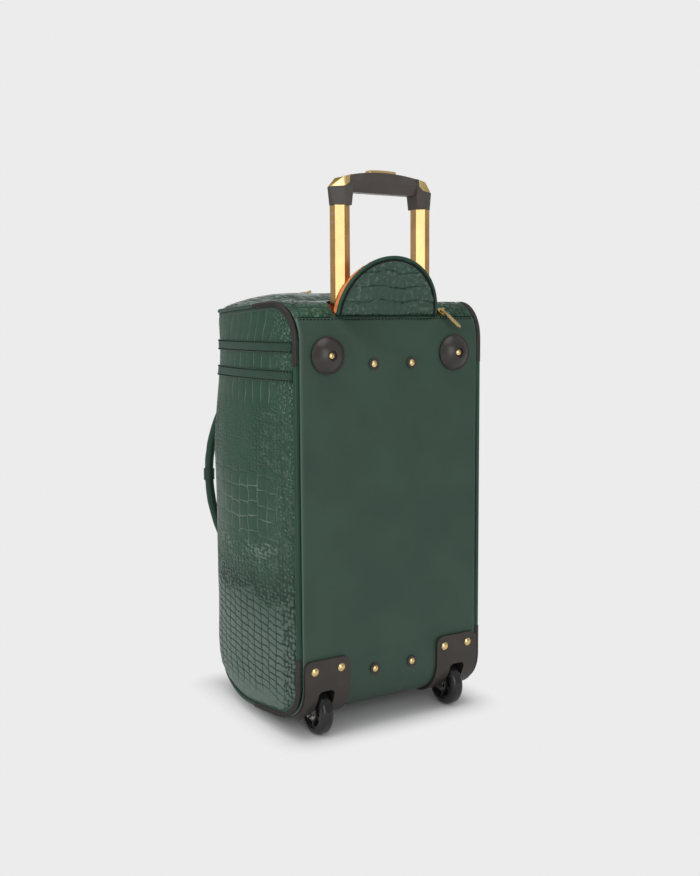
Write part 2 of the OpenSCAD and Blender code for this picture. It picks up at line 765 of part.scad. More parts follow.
// All that lies under the grip's arched top, lowered by drop.
module under_arch(drop) {
    translate([0, tube_y, arch_cz]) rotate([90, 0, 0])
        cylinder(4 * grip_d, r = arch_r - drop, center = true, $fn = 180);
}
module grip_bar() {
    mid = (bar_low + grip_h) / 2;
    half = flat * grip_d / 2;
    intersection() {
        translate([0, tube_y, grip_z]) along_x(2 * socket_in) polygon([
            [-half, bar_low], [half, bar_low], [grip_d / 2, mid],
            [half, grip_h], [-half, grip_h], [-grip_d / 2, mid]]);
        under_arch(0);
    }
}
module grip_socket() {
    intersection() {
        along_y(tube_y - grip_d, tube_y + grip_d) polygon([
            [socket_in, grip_z], [grip_half, grip_z], [shoulder_half, grip_z + socket_h],
            [tube_x, grip_z + corner_h], [tube_x, grip_z + grip_h],
            [socket_in - 2, grip_z + grip_h], [socket_in - 2, grip_z + bar_low]]);
        translate([0, tube_y, grip_z]) linear_extrude(grip_h) polygon([
            [shoulder_half, -shoulder_d / 2], [shoulder_half, shoulder_d / 2],
            [tube_x, grip_d / 2], [socket_in - 6, grip_d / 2],
            [socket_in - 6, -grip_d / 2], [tube_x, -grip_d / 2]]);
        under_arch(shoulder_drop);
    }
}
module grip_form() {
    grip_bar();
    both_sides() grip_socket();
}
// The corner of the grip that a gold cap takes the place of.
cap_in = 49;
module cap_zone() {
    along_y(-far, far) polygon([
        [shoulder_half + 10, grip_z + socket_h], [tube_x - 2, grip_z + socket_h + 1],
        [cap_in, grip_z + socket_h + 6], [cap_in - 1, grip_z + grip_h],
        [shoulder_half + 10, grip_z + grip_h]]);
}
// The link between the two release rods, a bow under the grip's top.
link_r = arch_r - 12.2;
link_h = 3;
function link_a(x) = asin(x / link_r);
rod_top = corner_h - 14.5;
stem_w = 8;
skirt_h = 3;
button_half = 5.3;
button_proud = 3;
module grip() in_frame() color(black) {
    difference() {
        union() {
            grip_form();
            both_sides() hex_bar(tube_w - 2 * tube_t, grip_z - spigot_h, grip_z + eps);
        }
        both_sides() cap_zone();
        arch(link_r - link_h - button_travel - fit_gap, link_r + 1, 3.4, 3.4, link_a(tube_x + 6));
        both_sides() translate([tube_x, tube_y, grip_z - spigot_h - 1])
            cylinder(spigot_h + rod_top, d = rod_d + 1);
        block(-stem_w / 2 - fit_gap, stem_w / 2 + fit_gap, tube_y - 3, tube_y + 3,
            arch_cz + link_r - link_h, far * 3);
        intersection() {
            arch(arch_r - button_travel - skirt_h, arch_r + 10, button_half + fit_gap,
                button_half + fit_gap, arch_a);
            block(-button_l / 2 - fit_gap, button_l / 2 + fit_gap, -far, far, 0, far * 3);
        }
        for (z = tube_rivet_z) both_sides()
            translate([tube_x + tube_w / 2 - tube_t - 1, tube_y, grip_z - z]) rotate([0, 90, 0])
                cylinder(4, d = tube_rivet_d);
    }
}
module corner_cap(side) {
    sided(side) intersection() {
        grip_form();
        cap_zone();
    }
}
module corner_cap_left() in_frame() color(gold) corner_cap(-1);
module corner_cap_right() in_frame() color(gold) corner_cap(1);
module release_button() in_frame() color(gold) {
    intersection() {
        arch(arch_r - skirt_h, arch_r + button_proud, button_half, button_half, arch_a);
        block(-button_l / 2, button_l / 2, -far, far, 0, far * 3);
    }
    block(-stem_w / 2, stem_w / 2, tube_y - 2.7, tube_y + 2.7,
        arch_cz + link_r, arch_cz + arch_r + 1);
}
module release_rods() in_frame() color(steel) {
    arch(link_r - link_h, link_r, 3, 3, link_a(tube_x + 4));
    both_sides() translate([tube_x, tube_y, inner_foot + 2])
        cylinder(grip_z + rod_top - inner_foot - 2, d = rod_d);
}

// ---- Flap over the well ----
flap_y = 12;
flap_z = hem_z + 2;
fold_r = 1.2;
edge_d = 4;
// The beaded edge ends this far above the hinge, so that it clears the back panel's hem.
edge_from = asin(4 / flap_r);
lining_r = flap_r - edge_d / 2 - 0.1;
// Stands the flap, drawn flat with its hinge along X, up at its lean.
module stood() {
    translate([0, flap_y, flap_z]) rotate([90 + flap_lean, 0, 0]) children();
}
module flap_panel() in_frame() color(croc) stood() {
    linear_extrude(flap_t) difference() {
        half_disc(flap_r);
        translate([-far, -eps]) square([2 * far, fold_r + eps]);
    }
    rotate([0, 90, 0]) cylinder(2 * flap_r - 8, r = fold_r, center = true);
    translate([4 - flap_r, 0, 0]) cube([2 * flap_r - 8, fold_r + 1, fold_r]);
}
module flap_lining() in_frame() color(orange) stood() {
    translate([0, 0, -rim_d]) linear_extrude(rim_d) difference() {
        half_disc(lining_r);
        half_disc(lining_r - 1.5);
        translate([-far, -eps]) square([2 * far, fold_r + 2]);
    }
    translate([0, 0, -0.8]) linear_extrude(0.8) difference() {
        half_disc(lining_r);
        translate([-far, -eps]) square([2 * far, fold_r + 2]);
    }
}
module flap_edge() in_frame() color(black) stood() {
    edge_angle = 180 - 2 * edge_from;
    translate([0, 0, flap_t / 2]) rotate(edge_from) rotate_extrude(angle = edge_angle) difference() {
        translate([flap_r, 0]) circle(d = edge_d);
        translate([0, -flap_t / 2]) square([flap_r, flap_t]);
    }
}
// The flap's slider lies at the right end of the well's mouth, its pull hangs over the panel.
slider_x = well_r + 4;
slider_y = 12.5;
pull_l = 31;
pull_turn = 56;
pull_dip = 8;
main_pull_l = 32;
slider_tilt = asin((corner_r - slider_y) / corner_r);
slider_z = high_z + corner_r * cos(slider_tilt);
slider_h = 4;
module at_flap_slider() {
    translate([slider_x, slider_y, slider_z]) rotate([slider_tilt, 0, 0]) rotate([0, 0, -pull_turn])
        children();
}
// A zip slider lying along X, with a bridge over it that holds the pull's pin.
module slider_body() {
    difference() {
        translate([-5, -3.5, 0.1]) cube([10, 7, slider_h - 0.1]);
        for (side = [-1, 1]) translate([-5, side * 4.5, slider_h / 2]) rotate(35)
            cube([5, 3, 2 * slider_h], center = true);
        translate([-6, -0.7, 1]) cube([12, 1.4, 1.4]);
    }
    for (side = [-1, 1]) translate([-1.6, side * 2.6 - 0.6, slider_h - eps]) cube([3.2, 1.2, 3.6]);
    translate([0, 0, slider_h + 2]) rotate([90, 0, 0]) cylinder(5.2, d = 1.6, center = true);
}
// A pull hung on the bridge: an eye, a neck and a slim bar with a tapered end.
module pull_body(length) {
    translate([0, 0, slider_h + 2]) rotate([0, pull_dip, 0]) difference() {
        union() {
            rotate([90, 0, 0]) cylinder(3.4, d = 3.4, center = true);
            translate([0, -1.2, -0.8]) cube([8, 2.4, 1.6]);
            translate([0, 0, -0.8]) linear_extrude(1.6)
                polygon([[7, -1.6], [11, -2.6], [length - 2, -2.6], [length, -1.4],
                    [length, 1.4], [length - 2, 2.6], [11, 2.6], [7, 1.6]]);
        }
        rotate([90, 0, 0]) cylinder(6, d = 1.6 + 2 * slide_gap, center = true);
    }
}
module flap_slider() in_frame() color(gold) at_flap_slider() slider_body();
module flap_pull() in_frame() color(gold) at_flap_slider() pull_body(pull_l);

// ---- Main zip, from the top end over the front edge and down the front ----
zip_foot = bottom_z(bag_d, edge_in) + 1;
tape_t = 1;
teeth_w = 6;
module zip_band(half, outer, inner, y0) {
    difference() {
        intersection() {
            barrel(outer);
            block(-half, half, y0, bag_d - outer, zip_foot, far * 2);
        }
        intersection() {
            barrel(inner);
            block(-far, far, -far, bag_d - inner, -far, far * 2);
        }
    }
}
module main_zip_tape() in_frame() color(black) {
    difference() {
        zip_band(tape_w / 2, skin_t, skin_t + tape_t, zip_start - 6);
        both_sides() block(zip_clear - 0.5, far, bag_d - edge_in, far, top_z(bag_d, edge_in), far * 2);
    }
}
module main_zip_teeth() in_frame() color(gold)
    zip_band(teeth_w / 2, 0.8, skin_t, zip_start);
main_slider_y = zip_start + 16;
main_tilt = asin((main_slider_y - dome_y) / dome_r);
module at_main_slider() {
    translate([0, dome_y, dome_base + dome_rise - dome_r]) rotate([-main_tilt, 0, 0])
        translate([0, 0, dome_r]) rotate([0, 0, 180]) children();
}
module main_slider() in_frame() color(gold) at_main_slider() slider_body();
module main_pull() in_frame() color(gold) at_main_slider() pull_body(main_pull_l);

// ---- Carry handles ----
pin_d = 3;
tab_w = 16;
tab_h = 38;
tab_t = 1.6;
lug_t = 3;
eye_h = 8;
// The neck that joins an eye to the roll starts clear of the lugs and reaches past the eye.
neck_x = 4.8;
neck_h = 5;
carry_r = (pow(carry_span / 2, 2) + pow(carry_reach, 2)) / (2 * carry_reach);
carry_from = 6.5;
carry_a = acos((carry_from + carry_r - carry_reach) / carry_r);
anchor_z = [carry_z - carry_span / 2, carry_z + carry_span / 2];
// Turns X to the direction in which a carry handle stands out from its pins.
module at_carry(side) {
    sided(side) translate([carry_x, carry_anchor_y, carry_z]) rotate([0, 0, 90 - carry_lean])
        children();
}
module carry_arc(r, a) {
    translate([carry_reach - carry_r, 0, 0]) rotate([90, 0, 0]) rotate([0, 0, -a])
        rotate_extrude(angle = 2 * a, $fn = 128) translate([carry_r, 0]) circle(r, $fn = 32);
}
module carry_handle(side) {
    at_carry(side) {
        carry_arc(carry_d / 2, carry_a);
        for (end = [-1, 1]) translate([0, 0, end * carry_span / 2]) difference() {
            union() {
                cylinder(eye_h, d = 8, center = true);
                translate([0, -3, -eye_h / 2]) cube([carry_from + 4.5, 6, eye_h]);
                translate([neck_x, -3, -eye_h / 2 - (end > 0 ? neck_h : 0)])
                    cube([carry_from + 4.5 - neck_x, 6, eye_h + neck_h]);
            }
            cylinder(far, d = pin_d + 2 * slide_gap, center = true);
        }
    }
}
module carry_handle_left() in_frame() color(leather) carry_handle(-1);
module carry_handle_right() in_frame() color(leather) carry_handle(1);
keeper_l = 16;
module handle_keeper() in_frame() color(leather) at_carry(-1) difference() {
    keeper_a = 90 * keeper_l / (PI * carry_r);
    carry_arc(carry_d / 2 + keeper_t, keeper_a);
    carry_arc(carry_d / 2, keeper_a + 2);
}
module wall_patch(x0, x1, z0, z1, t) {
    intersection() {
        difference() {
            plan_prism(-t);
            plan_prism(0);
        }
        block(x0, x1, front_cy, far, z0, z1);
    }
}
module handle_tabs() in_frame() color(leather) both_sides() for (z = anchor_z) {
    wall_patch(carry_x - tab_w / 2, carry_x + tab_w / 2, z - tab_h / 2, z + tab_h / 2, tab_t);
    for (end = [-1, 1]) difference() {
        translate([0, 0, z + end * (eye_h + lug_t + fit_gap) / 2 - lug_t / 2]) linear_extrude(lug_t)
            difference() {
                union() {
                    translate([carry_x - 3.5, front_cy]) square([7, carry_anchor_y - front_cy]);
                    translate([carry_x, carry_anchor_y]) circle(3.5);
                }
                polygon(plan_points(-tab_t));
            }
        translate([carry_x, carry_anchor_y, z]) cylinder(far, d = pin_d, center = true);
    }
}
module handle_pins() in_frame() color(gold) both_sides() for (z = anchor_z)
    translate([carry_x, carry_anchor_y, z])
        cylinder(eye_h + 2 * lug_t + 2 * fit_gap, d = pin_d, center = true);
tail_l = 44;
tail_x = carry_x + 6;
tail_y = front_cy + sqrt(pow(front_r, 2) - pow(tail_x - front_cx, 2)) + 3.4;
module strap_tail() in_frame() color(black) sided(-1)
    translate([tail_x, tail_y, anchor_z[0] - tab_h / 2 - 0.8]) rotate([0, 180 - 8, 62])
        translate([-3.5, 0, 0]) cube([7, 1.6, tail_l]);

base_panel();
base_board();
top_end();
bottom_end();
wall_left();
wall_right();
upper_belts();
lower_belts();
piping_left();
piping_right();
top_corner_covers();
bottom_corner_covers();
back_foot_left();
back_foot_right();
foot_screws();
trolley_washers();
trolley_rivets();
wheel_housing_left();
wheel_housing_right();
housing_rivets();
axles();
tyre_left();
tyre_right();
hub_left();
hub_right();
bearings_left();
bearings_right();
stand_feet();
channel_left();
channel_right();
top_bracket();
bottom_bracket();
handle_well();
middle_tube_left();
middle_tube_right();
middle_collars();
inner_tube_left();
inner_tube_right();
inner_plugs();
grip();
corner_cap_left();
corner_cap_right();
tube_rivets();
release_button();
release_rods();
flap_panel();
flap_lining();
flap_edge();
flap_slider();
flap_pull();
main_zip_tape();
main_zip_teeth();
main_slider();
main_pull();
carry_handle_left();
carry_handle_right();
handle_keeper();
handle_tabs();
handle_pins();
strap_tail();
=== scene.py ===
"""Looks of a wheeled leather travel bag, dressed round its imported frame.

The bag stands on end on two wheels and two feet: a smooth back panel, scaled
leather walls and ends between two piped seams, a telescoping handle under a
zipped flap, and two rolled carry handles on the front.
"""

import json
import logging
import math
from dataclasses import dataclass, field
from enum import Enum
from typing import Callable, Optional, Sequence, Union

import bmesh
import bpy
import numpy as np
from mathutils import Matrix, Vector, noise

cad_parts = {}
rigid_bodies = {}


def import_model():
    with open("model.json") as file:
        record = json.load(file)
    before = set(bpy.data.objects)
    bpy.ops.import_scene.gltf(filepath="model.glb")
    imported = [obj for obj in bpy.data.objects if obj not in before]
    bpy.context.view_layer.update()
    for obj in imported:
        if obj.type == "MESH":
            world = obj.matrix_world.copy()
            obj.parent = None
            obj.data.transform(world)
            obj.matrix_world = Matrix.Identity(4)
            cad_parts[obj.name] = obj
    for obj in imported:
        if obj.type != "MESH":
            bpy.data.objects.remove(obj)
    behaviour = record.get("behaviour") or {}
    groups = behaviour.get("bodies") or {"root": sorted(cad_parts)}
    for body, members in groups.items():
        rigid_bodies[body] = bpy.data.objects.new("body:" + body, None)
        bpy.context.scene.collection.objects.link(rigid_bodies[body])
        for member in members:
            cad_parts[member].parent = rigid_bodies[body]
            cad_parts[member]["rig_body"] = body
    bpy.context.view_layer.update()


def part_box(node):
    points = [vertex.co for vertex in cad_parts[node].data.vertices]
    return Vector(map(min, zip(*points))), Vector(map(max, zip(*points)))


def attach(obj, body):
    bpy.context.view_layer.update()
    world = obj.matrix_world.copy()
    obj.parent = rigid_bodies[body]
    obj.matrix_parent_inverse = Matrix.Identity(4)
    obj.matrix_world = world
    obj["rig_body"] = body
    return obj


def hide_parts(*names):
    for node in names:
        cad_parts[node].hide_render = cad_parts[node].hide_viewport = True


LOG = logging.getLogger("travel_bag")
Colour = tuple[float, float, float]
Term = Union["Wire", float, int]


# ---- Shader kit ----------------------------------------------------------


class Wire:
    """An output socket that takes part in Python arithmetic."""

    def __init__(self, net: "Net", socket: bpy.types.NodeSocket) -> None:
        """Wraps a socket.

        Args:
            net: The material's node net.
            socket: The output socket.
        """
        self.net = net
        self.socket = socket

    def _math(self, operation: str, *terms: Term) -> "Wire":
        """Adds one Math node.

        Args:
            operation: The Math node's operation.
            terms: Its operands in order.

        Returns:
            The node's output.
        """
        return self.net.node("ShaderNodeMath", {"operation": operation}, dict(enumerate(terms)))

    def __add__(self, other: Term) -> "Wire":
        """Sum."""
        return self._math("ADD", self, other)

    def __sub__(self, other: Term) -> "Wire":
        """Difference."""
        return self._math("SUBTRACT", self, other)

    def __rsub__(self, other: Term) -> "Wire":
        """Difference from a number."""
        return self._math("SUBTRACT", other, self)

    def __mul__(self, other: Term) -> "Wire":
        """Product."""
        return self._math("MULTIPLY", self, other)

    def __truediv__(self, other: Term) -> "Wire":
        """Quotient."""
        return self._math("DIVIDE", self, other)

    def __pow__(self, other: Term) -> "Wire":
        """Power."""
        return self._math("POWER", self, other)

    __radd__ = __add__
    __rmul__ = __mul__

    def fract(self) -> "Wire":
        """The part after the decimal point."""
        return self._math("FRACT", self)

    def floor(self) -> "Wire":
        """The whole number below."""
        return self._math("FLOOR", self)

    def size(self) -> "Wire":
        """The value without its sign."""
        return self._math("ABSOLUTE", self)

    def sine(self) -> "Wire":
        """The sine of an angle in radians."""
        return self._math("SINE", self)

    def over(self, other: Term) -> "Wire":
        """The greater of two values."""
        return self._math("MAXIMUM", self, other)

    def under(self, other: Term) -> "Wire":
        """The lesser of two values."""
        return self._math("MINIMUM", self, other)

    def ease(self, low: float, high: float) -> "Wire":
        """A smooth step from 0 at low to 1 at high.

        Args:
            low: Where the step starts.
            high: Where it ends.

        Returns:
            The step's value.
        """
        settings = {"interpolation_type": "SMOOTHSTEP"}
        if low < high:
            return self.net.node(
                "ShaderNodeMapRange", settings, {"Value": self, "From Min": low, "From Max": high}
            )
        return 1 - self.ease(high, low)

    def toward(self, other: Term, share: Term) -> "Wire":
        """A blend of this value and another.

        Args:
            other: The value at share 1.
            share: How much of it there is.

        Returns:
            The blended value.
        """
        return self.net.node("ShaderNodeMix", {"data_type": "FLOAT"}, {0: share, 2: self, 3: other})


class Net:
    """The nodes of one material."""

    def __init__(self, name: str) -> None:
        """Starts a material with a bare surface shader.

        Args:
            name: The material's name.
        """
        self.material = bpy.data.materials.new(name)
        self.material.use_nodes = True
        self.tree = self.material.node_tree
        self.shader = next(n for n in self.tree.nodes if n.type == "BSDF_PRINCIPLED")
        self.output = next(n for n in self.tree.nodes if n.type == "OUTPUT_MATERIAL")

    def node(
        self,
        kind: str,
        settings: Optional[dict] = None,
        sockets: Optional[dict] = None,
        out: Union[int, str] = 0,
    ) -> Wire:
        """Adds a node.

        Args:
            kind: The node's type.
            settings: Its properties, set first.
            sockets: Values or wires by socket name or place.
            out: The output to return.

        Returns:
            That output.
        """
        made = self.tree.nodes.new(kind)
        for key, value in (settings or {}).items():
            setattr(made, key, value)
        for key, value in (sockets or {}).items():
            self.feed(made.inputs[key], value)
        return Wire(self, made.outputs[out])

    def feed(self, socket: bpy.types.NodeSocket, value: object) -> None:
        """Sets or links one input socket.

        Args:
            socket: The input.
            value: A wire, number or tuple.
        """
        if isinstance(value, Wire):
            self.tree.links.new(value.socket, socket)
        elif isinstance(value, tuple) and len(value) == 3 and socket.type == "RGBA":
            socket.default_value = (*value, 1.0)
        else:
            socket.default_value = value

    def parts(self, vector: Wire) -> tuple[Wire, Wire, Wire]:
        """Splits a vector.

        Args:
            vector: The vector.

        Returns:
            Its three parts.
        """
        made = self.node("ShaderNodeSeparateXYZ", None, {0: vector}).socket.node
        return tuple(Wire(self, s) for s in made.outputs)

    def join(self, x: Term, y: Term, z: Term = 0.0) -> Wire:
        """Makes a vector of three numbers."""
        return self.node("ShaderNodeCombineXYZ", None, {0: x, 1: y, 2: z})

    def scaled(self, vector: Wire, by: tuple[float, float, float]) -> Wire:
        """Multiplies a vector part by part."""
        return self.node("ShaderNodeVectorMath", {"operation": "MULTIPLY"}, {0: vector, 1: by})

    def skin(self) -> Wire:
        """The piece's own flat coordinates, in metres."""
        return self.node("ShaderNodeUVMap", {"uv_map": "skin"})

    def place(self) -> Wire:
        """Object coordinates, in metres."""
        return self.node("ShaderNodeTexCoord", None, None, "Object")

    def noise(self, vector: Wire, scale: float, detail: float = 2.0, rough: float = 0.5) -> Wire:
        """Smooth noise from 0 to 1.

        Args:
            vector: Where it is read.
            scale: Waves per unit.
            detail: Octaves.
            rough: Strength of the finer octaves.

        Returns:
            The noise.
        """
        return self.node(
            "ShaderNodeTexNoise",
            None,
            {"Vector": vector, "Scale": scale, "Detail": detail, "Roughness": rough},
        )

    def cells(self, vector: Wire, feature: str, chaos: float = 0.85) -> Wire:
        """Distance inside irregular cells one unit across.

        Args:
            vector: Where it is read.
            feature: The distance that is measured.
            chaos: How irregular the cells are.

        Returns:
            The distance.
        """
        return self.node(
            "ShaderNodeTexVoronoi",
            {"feature": feature},
            {"Vector": vector, "Scale": 1.0, "Randomness": chaos},
            "Distance",
        )

    def tint(self, low: object, high: object, share: Term) -> Wire:
        """A blend of two colours.

        Args:
            low: The colour at share 0.
            high: The colour at share 1.
            share: How much of the second there is.

        Returns:
            The colour.
        """
        return self.node("ShaderNodeMix", {"data_type": "RGBA"}, {0: share, 6: low, 7: high}, 2)

    def relief(self, height: Wire, depth: float, under: Optional[Wire] = None) -> Wire:
        """A surface direction from a height.

        Args:
            height: The height, from 0 to 1.
            depth: What 1 stands for, in metres.
            under: A direction that it adds to.

        Returns:
            The direction.
        """
        sockets = {"Height": height, "Distance": depth, "Strength": 1.0}
        if under is not None:
            sockets["Normal"] = under
        return self.node("ShaderNodeBump", None, sockets)

    def surface(self, **values: object) -> None:
        """Sets the surface shader's sockets, with _ for the spaces in their names."""
        for key, value in values.items():
            self.feed(self.shader.inputs[key.replace("_", " ")], value)


# ---- Finishes ------------------------------------------------------------


@dataclass(frozen=True)
class Finish:
    """A named procedural finish."""

    name: str

    def paint(self, net: Net) -> None:
        """Lays the finish's nodes.

        Args:
            net: The material's net.
        """
        raise NotImplementedError

    def material(self) -> bpy.types.Material:
        """The finish's material, made the first time.

        Returns:
            The material.
        """
        name = f"{self.name}_finish"
        found = bpy.data.materials.get(name)
        if found:
            return found
        net = Net(name)
        self.paint(net)
        return net.material


@dataclass(frozen=True)
class SmoothLeather(Finish):
    """Dyed, finished leather with fine pores."""

    tone: Colour = (0.029, 0.068, 0.045)
    deep: Colour = (0.021, 0.050, 0.033)
    rough: float = 0.46
    gloss: float = 0.42
    pore: float = 1.1
    depth: float = 0.00006
    # Half width beyond which the rolled edge gets a painted highlight; None for none.
    edge: Optional[float] = None

    def paint(self, net: Net) -> None:
        """Lays pores, a faint cloud of tone, uneven shine and, where edge is given, a painted highlight
        along the rolled edge.
        """
        place = net.place()
        cloud = net.noise(place, 14.0, 3.0)
        pores = net.cells(net.scaled(place, (1000 / self.pore,) * 3), "DISTANCE_TO_EDGE")
        fine = net.noise(place, 900.0, 2.0)
        height = pores.ease(0.0, 0.35) * 0.6 + fine * 0.4
        colour = net.tint(self.deep, self.tone, cloud.ease(0.3, 0.7) * 0.7 + height * 0.3)
        # Painted highlight: a lighter band along the rolled edge, where light would catch it.
        if self.edge is not None:
            across, _, _ = net.parts(net.skin())
            painted_edge_highlight = across.size().ease(self.edge, self.edge + 0.0010)
            colour = net.tint(colour, tuple(c * 1.7 + 0.05 for c in self.tone), painted_edge_highlight * 0.8)
        net.surface(
            Specular_IOR_Level=self.gloss,
            Base_Color=colour,
            Roughness=cloud * 0.14 + (self.rough - 0.1) + (1 - height) * 0.06,
            Normal=net.relief(height, self.depth),
        )


class Hide(Enum):
    """Which part of a scaled hide a piece is cut from."""

    WALL = "wall"
    END = "end"
    FLAP = "flap"


@dataclass(frozen=True)
class ScaledLeather(Finish):
    """Leather embossed with reptile scales, laid out on the skin coordinates."""

    hide: Hide = Hide.WALL
    tone: Colour = (0.013, 0.061, 0.033)
    # Crease colour: painted shade that darkens the creases between the scales.
    crease: Colour = (0.007, 0.030, 0.017)
    # Glint colour: painted highlight on crease edges and scale faces.
    glint: Colour = (0.20, 0.26, 0.215)
    # Painted sheen colour, laid on raised scale faces low on the wall and towards its front.
    painted_sheen: Colour = (0.100, 0.150, 0.122)
    rough: float = 0.36
    gloss: float = 0.30
    shine: float = 0.8
    depth: float = 0.0016

    @staticmethod
    def tiles(net: Net, u: Wire, v: Wire, wide: float, tall: float, stagger: float) -> Wire:
        """Square scales in columns.

        Args:
            net: The net.
            u: Distance across, in millimetres.
            v: Distance up, in millimetres.
            wide: Width of a scale.
            tall: Height of a scale.
            stagger: How far columns slip past each other, as a share of tall.

        Returns:
            The height over a scale, 0 in the creases.
        """
        column = u / wide
        slip = net.node("ShaderNodeTexWhiteNoise", {"noise_dimensions": "1D"}, {"W": column.floor()})
        row = v / tall + slip * stagger
        across = (column.fract() - 0.5).size() * 2
        along = (row.fract() - 0.5).size() * 2
        edge = ((1 - across) * (wide / 2)).under((1 - along) * (tall / 2))
        return edge.ease(0.0, 1.7) * 0.7 + (1 - across * across) * (1 - along * along) * 0.3

    @staticmethod
    def pebbles(net: Net, u: Wire, v: Wire, wide: float, tall: float) -> Wire:
        """Small rounded scales.

        Args:
            net: The net.
            u: Distance across, in millimetres.
            v: Distance up, in millimetres.
            wide: Width of a scale.
            tall: Height of a scale.

        Returns:
            The height over a scale, 0 in the creases.
        """
        where = net.join(u / wide, v / tall)
        return 1 - net.cells(where, "F1", 0.5).ease(0.12, 0.68)

    def heights(self, net: Net, u: Wire, v: Wire, drift: Wire) -> Wire:
        """The height of the scales for this part of the hide.

        Args:
            net: The net.
            u: Distance across, in millimetres.
            v: Distance up, in millimetres.
            drift: Slow noise from 0 to 1 that loosens the borders.

        Returns:
            The height, from 0 to 1.
        """
        if self.hide is Hide.WALL:
            level = v + (drift - 0.5) * 30
            small = self.pebbles(net, u, v, 8.0, 4.4)
            low = self.tiles(net, u, v - u * 0.16, 16.5, 9.0, 0.12)
            low = low.toward(0.75, level.ease(58, 24) * 0.85)
            big = self.tiles(net, u, v, 22.0, 18.5, 0.3)
            tall = self.tiles(net, u + v * 0.05 + (v - 470).over(0) * 0.35, v, 19.5, 900.0, 0.2)
            high = level.ease(384, 404)
            plain = u.ease(60, 110) * u.ease(225, 175)
            body = low.toward(small, level.ease(146, 166))
            body = body.toward(big, level.ease(222, 238))
            body = body.toward(small.toward(0.62, plain * 0.8), level.ease(306, 322))
            flank = (u + (drift - 0.5) * 16).ease(46, 24) * level.ease(420, 390)
            body = body.toward(self.pebbles(net, u + 3, v, 7.0, 6.0), flank * 0.9)
            return body.toward(tall, high)
        if self.hide is Hide.END:
            small = self.pebbles(net, u, v, 8.0, 6.0)
            large = self.tiles(net, u, v, 17.0, 12.0, 0.4)
            return small.toward(large, drift.ease(0.47, 0.56))
        wavy = v + (u * 0.11).sine() * 1.4
        crease = ((wavy / 17.5).fract() - 0.5).size().ease(0.5, 0.42)
        lumps = self.pebbles(net, u, v, 10.0, 9.0)
        curls = (net.cells(net.join(u / 16, v / 14), "F1", 0.5) * 26).sine() * 0.5 + 0.5
        lumps = lumps.toward(curls, (u.size() + (drift - 0.5) * 30).ease(26, 40) * 0.55)
        ribs = (u * 0.7 + (drift - 0.5) * 9).sine() * 0.5 + 0.5
        return crease * 0.45 + lumps * 0.55 + ribs * 0.22

    def painted_highlights(self, net: Net, u: Wire, v: Wire) -> tuple[Wire, Wire]:
        """Where highlights are painted on the hide.

        Args:
            net: The net.
            u: Distance across, in millimetres.
            v: Distance up, in millimetres.

        Returns:
            The share of painted highlight in the creases, and of painted highlight specks on the
            scales.
        """
        specks = net.noise(net.join(u, v), 0.34, 3.0).ease(0.5, 0.66)
        if self.hide is Hide.WALL:
            beside = (u.ease(70, 12) + u.ease(170, 215) * u.ease(290, 230) * 0.8).under(1.0)
            pebbled = (v.ease(296, 316) * v.ease(404, 390) + u.ease(60, 36)).under(1.0)
            return v.ease(165, 232) * (1 - pebbled * 0.62), specks * beside * v.ease(60, 200)
        if self.hide is Hide.END:
            return specks * 0.4, specks * 0.5
        beside = (u.size().ease(8, 44) * 0.7 + v.ease(30, 56) * 0.8).under(1.0)
        lumps = net.noise(net.join(u, v), 0.19, 2.0).ease(0.52, 0.64)
        return specks * 0.0, lumps * beside * (specks * 0.4 + 0.6)

    def paint(self, net: Net) -> None:
        """Lays the scales, their creases darkened by painted shade, painted highlights and painted
        sheen, and a fine grain.
        """
        across, up, _ = net.parts(net.skin())
        u0, v0 = across * 1000, up * 1000
        flat = net.join(u0, v0)
        warp = net.node(
            "ShaderNodeTexNoise",
            None,
            {"Vector": flat, "Scale": 0.045, "Detail": 2.0},
            "Color",
        )
        wx, wy, _ = net.parts(warp)
        u, v = u0 + (wx - 0.5) * 9, v0 + (wy - 0.5) * 9
        drift = net.noise(flat, 0.021, 1.0)
        height = self.heights(net, u, v, drift)
        grain = net.noise(flat, 1.7, 3.0)
        wrinkle = net.noise(net.join(u0 * 0.5, v0), 0.6, 3.0)
        lines, specks = self.painted_highlights(net, u0, v0)
        level = height * (0.82 - lines * 0.42) + wrinkle * 0.12 + grain * 0.06
        raised = height.ease(0.05, 0.6)
        patch = net.noise(flat, 0.05, 3.0).ease(0.36, 0.6) * 0.7 + 0.3
        # Painted shade: creases take the darker crease colour, except where painted highlights lie
        # along them.
        colour = net.tint(self.crease, self.tone, (raised + lines).under(1.0))
        colour = net.tint(colour, tuple(c * 1.25 for c in self.tone), drift.ease(0.4, 0.75) * 0.35)
        # Painted sheen: raised faces lighter low on the wall and towards its front corner.
        if self.hide is Hide.WALL:
            pale = (v0.ease(210, 90) + u0.ease(160, 228) * 0.3).under(1.0)
            colour = net.tint(colour, self.painted_sheen, pale * raised)
        # Painted highlights along the crease edges, then painted highlight specks on the scale faces.
        colour = net.tint(colour, self.glint, height.ease(0.34, 0.04) * patch * lines * self.shine)
        colour = net.tint(colour, self.glint, specks * height.ease(0.3, 0.75) * self.shine)
        net.surface(
            Specular_IOR_Level=self.gloss,
            Base_Color=colour,
            Roughness=(1 - raised) * 0.2 + wrinkle * 0.10 + (self.rough - 0.05),
            Normal=net.relief(level, self.depth),
        )


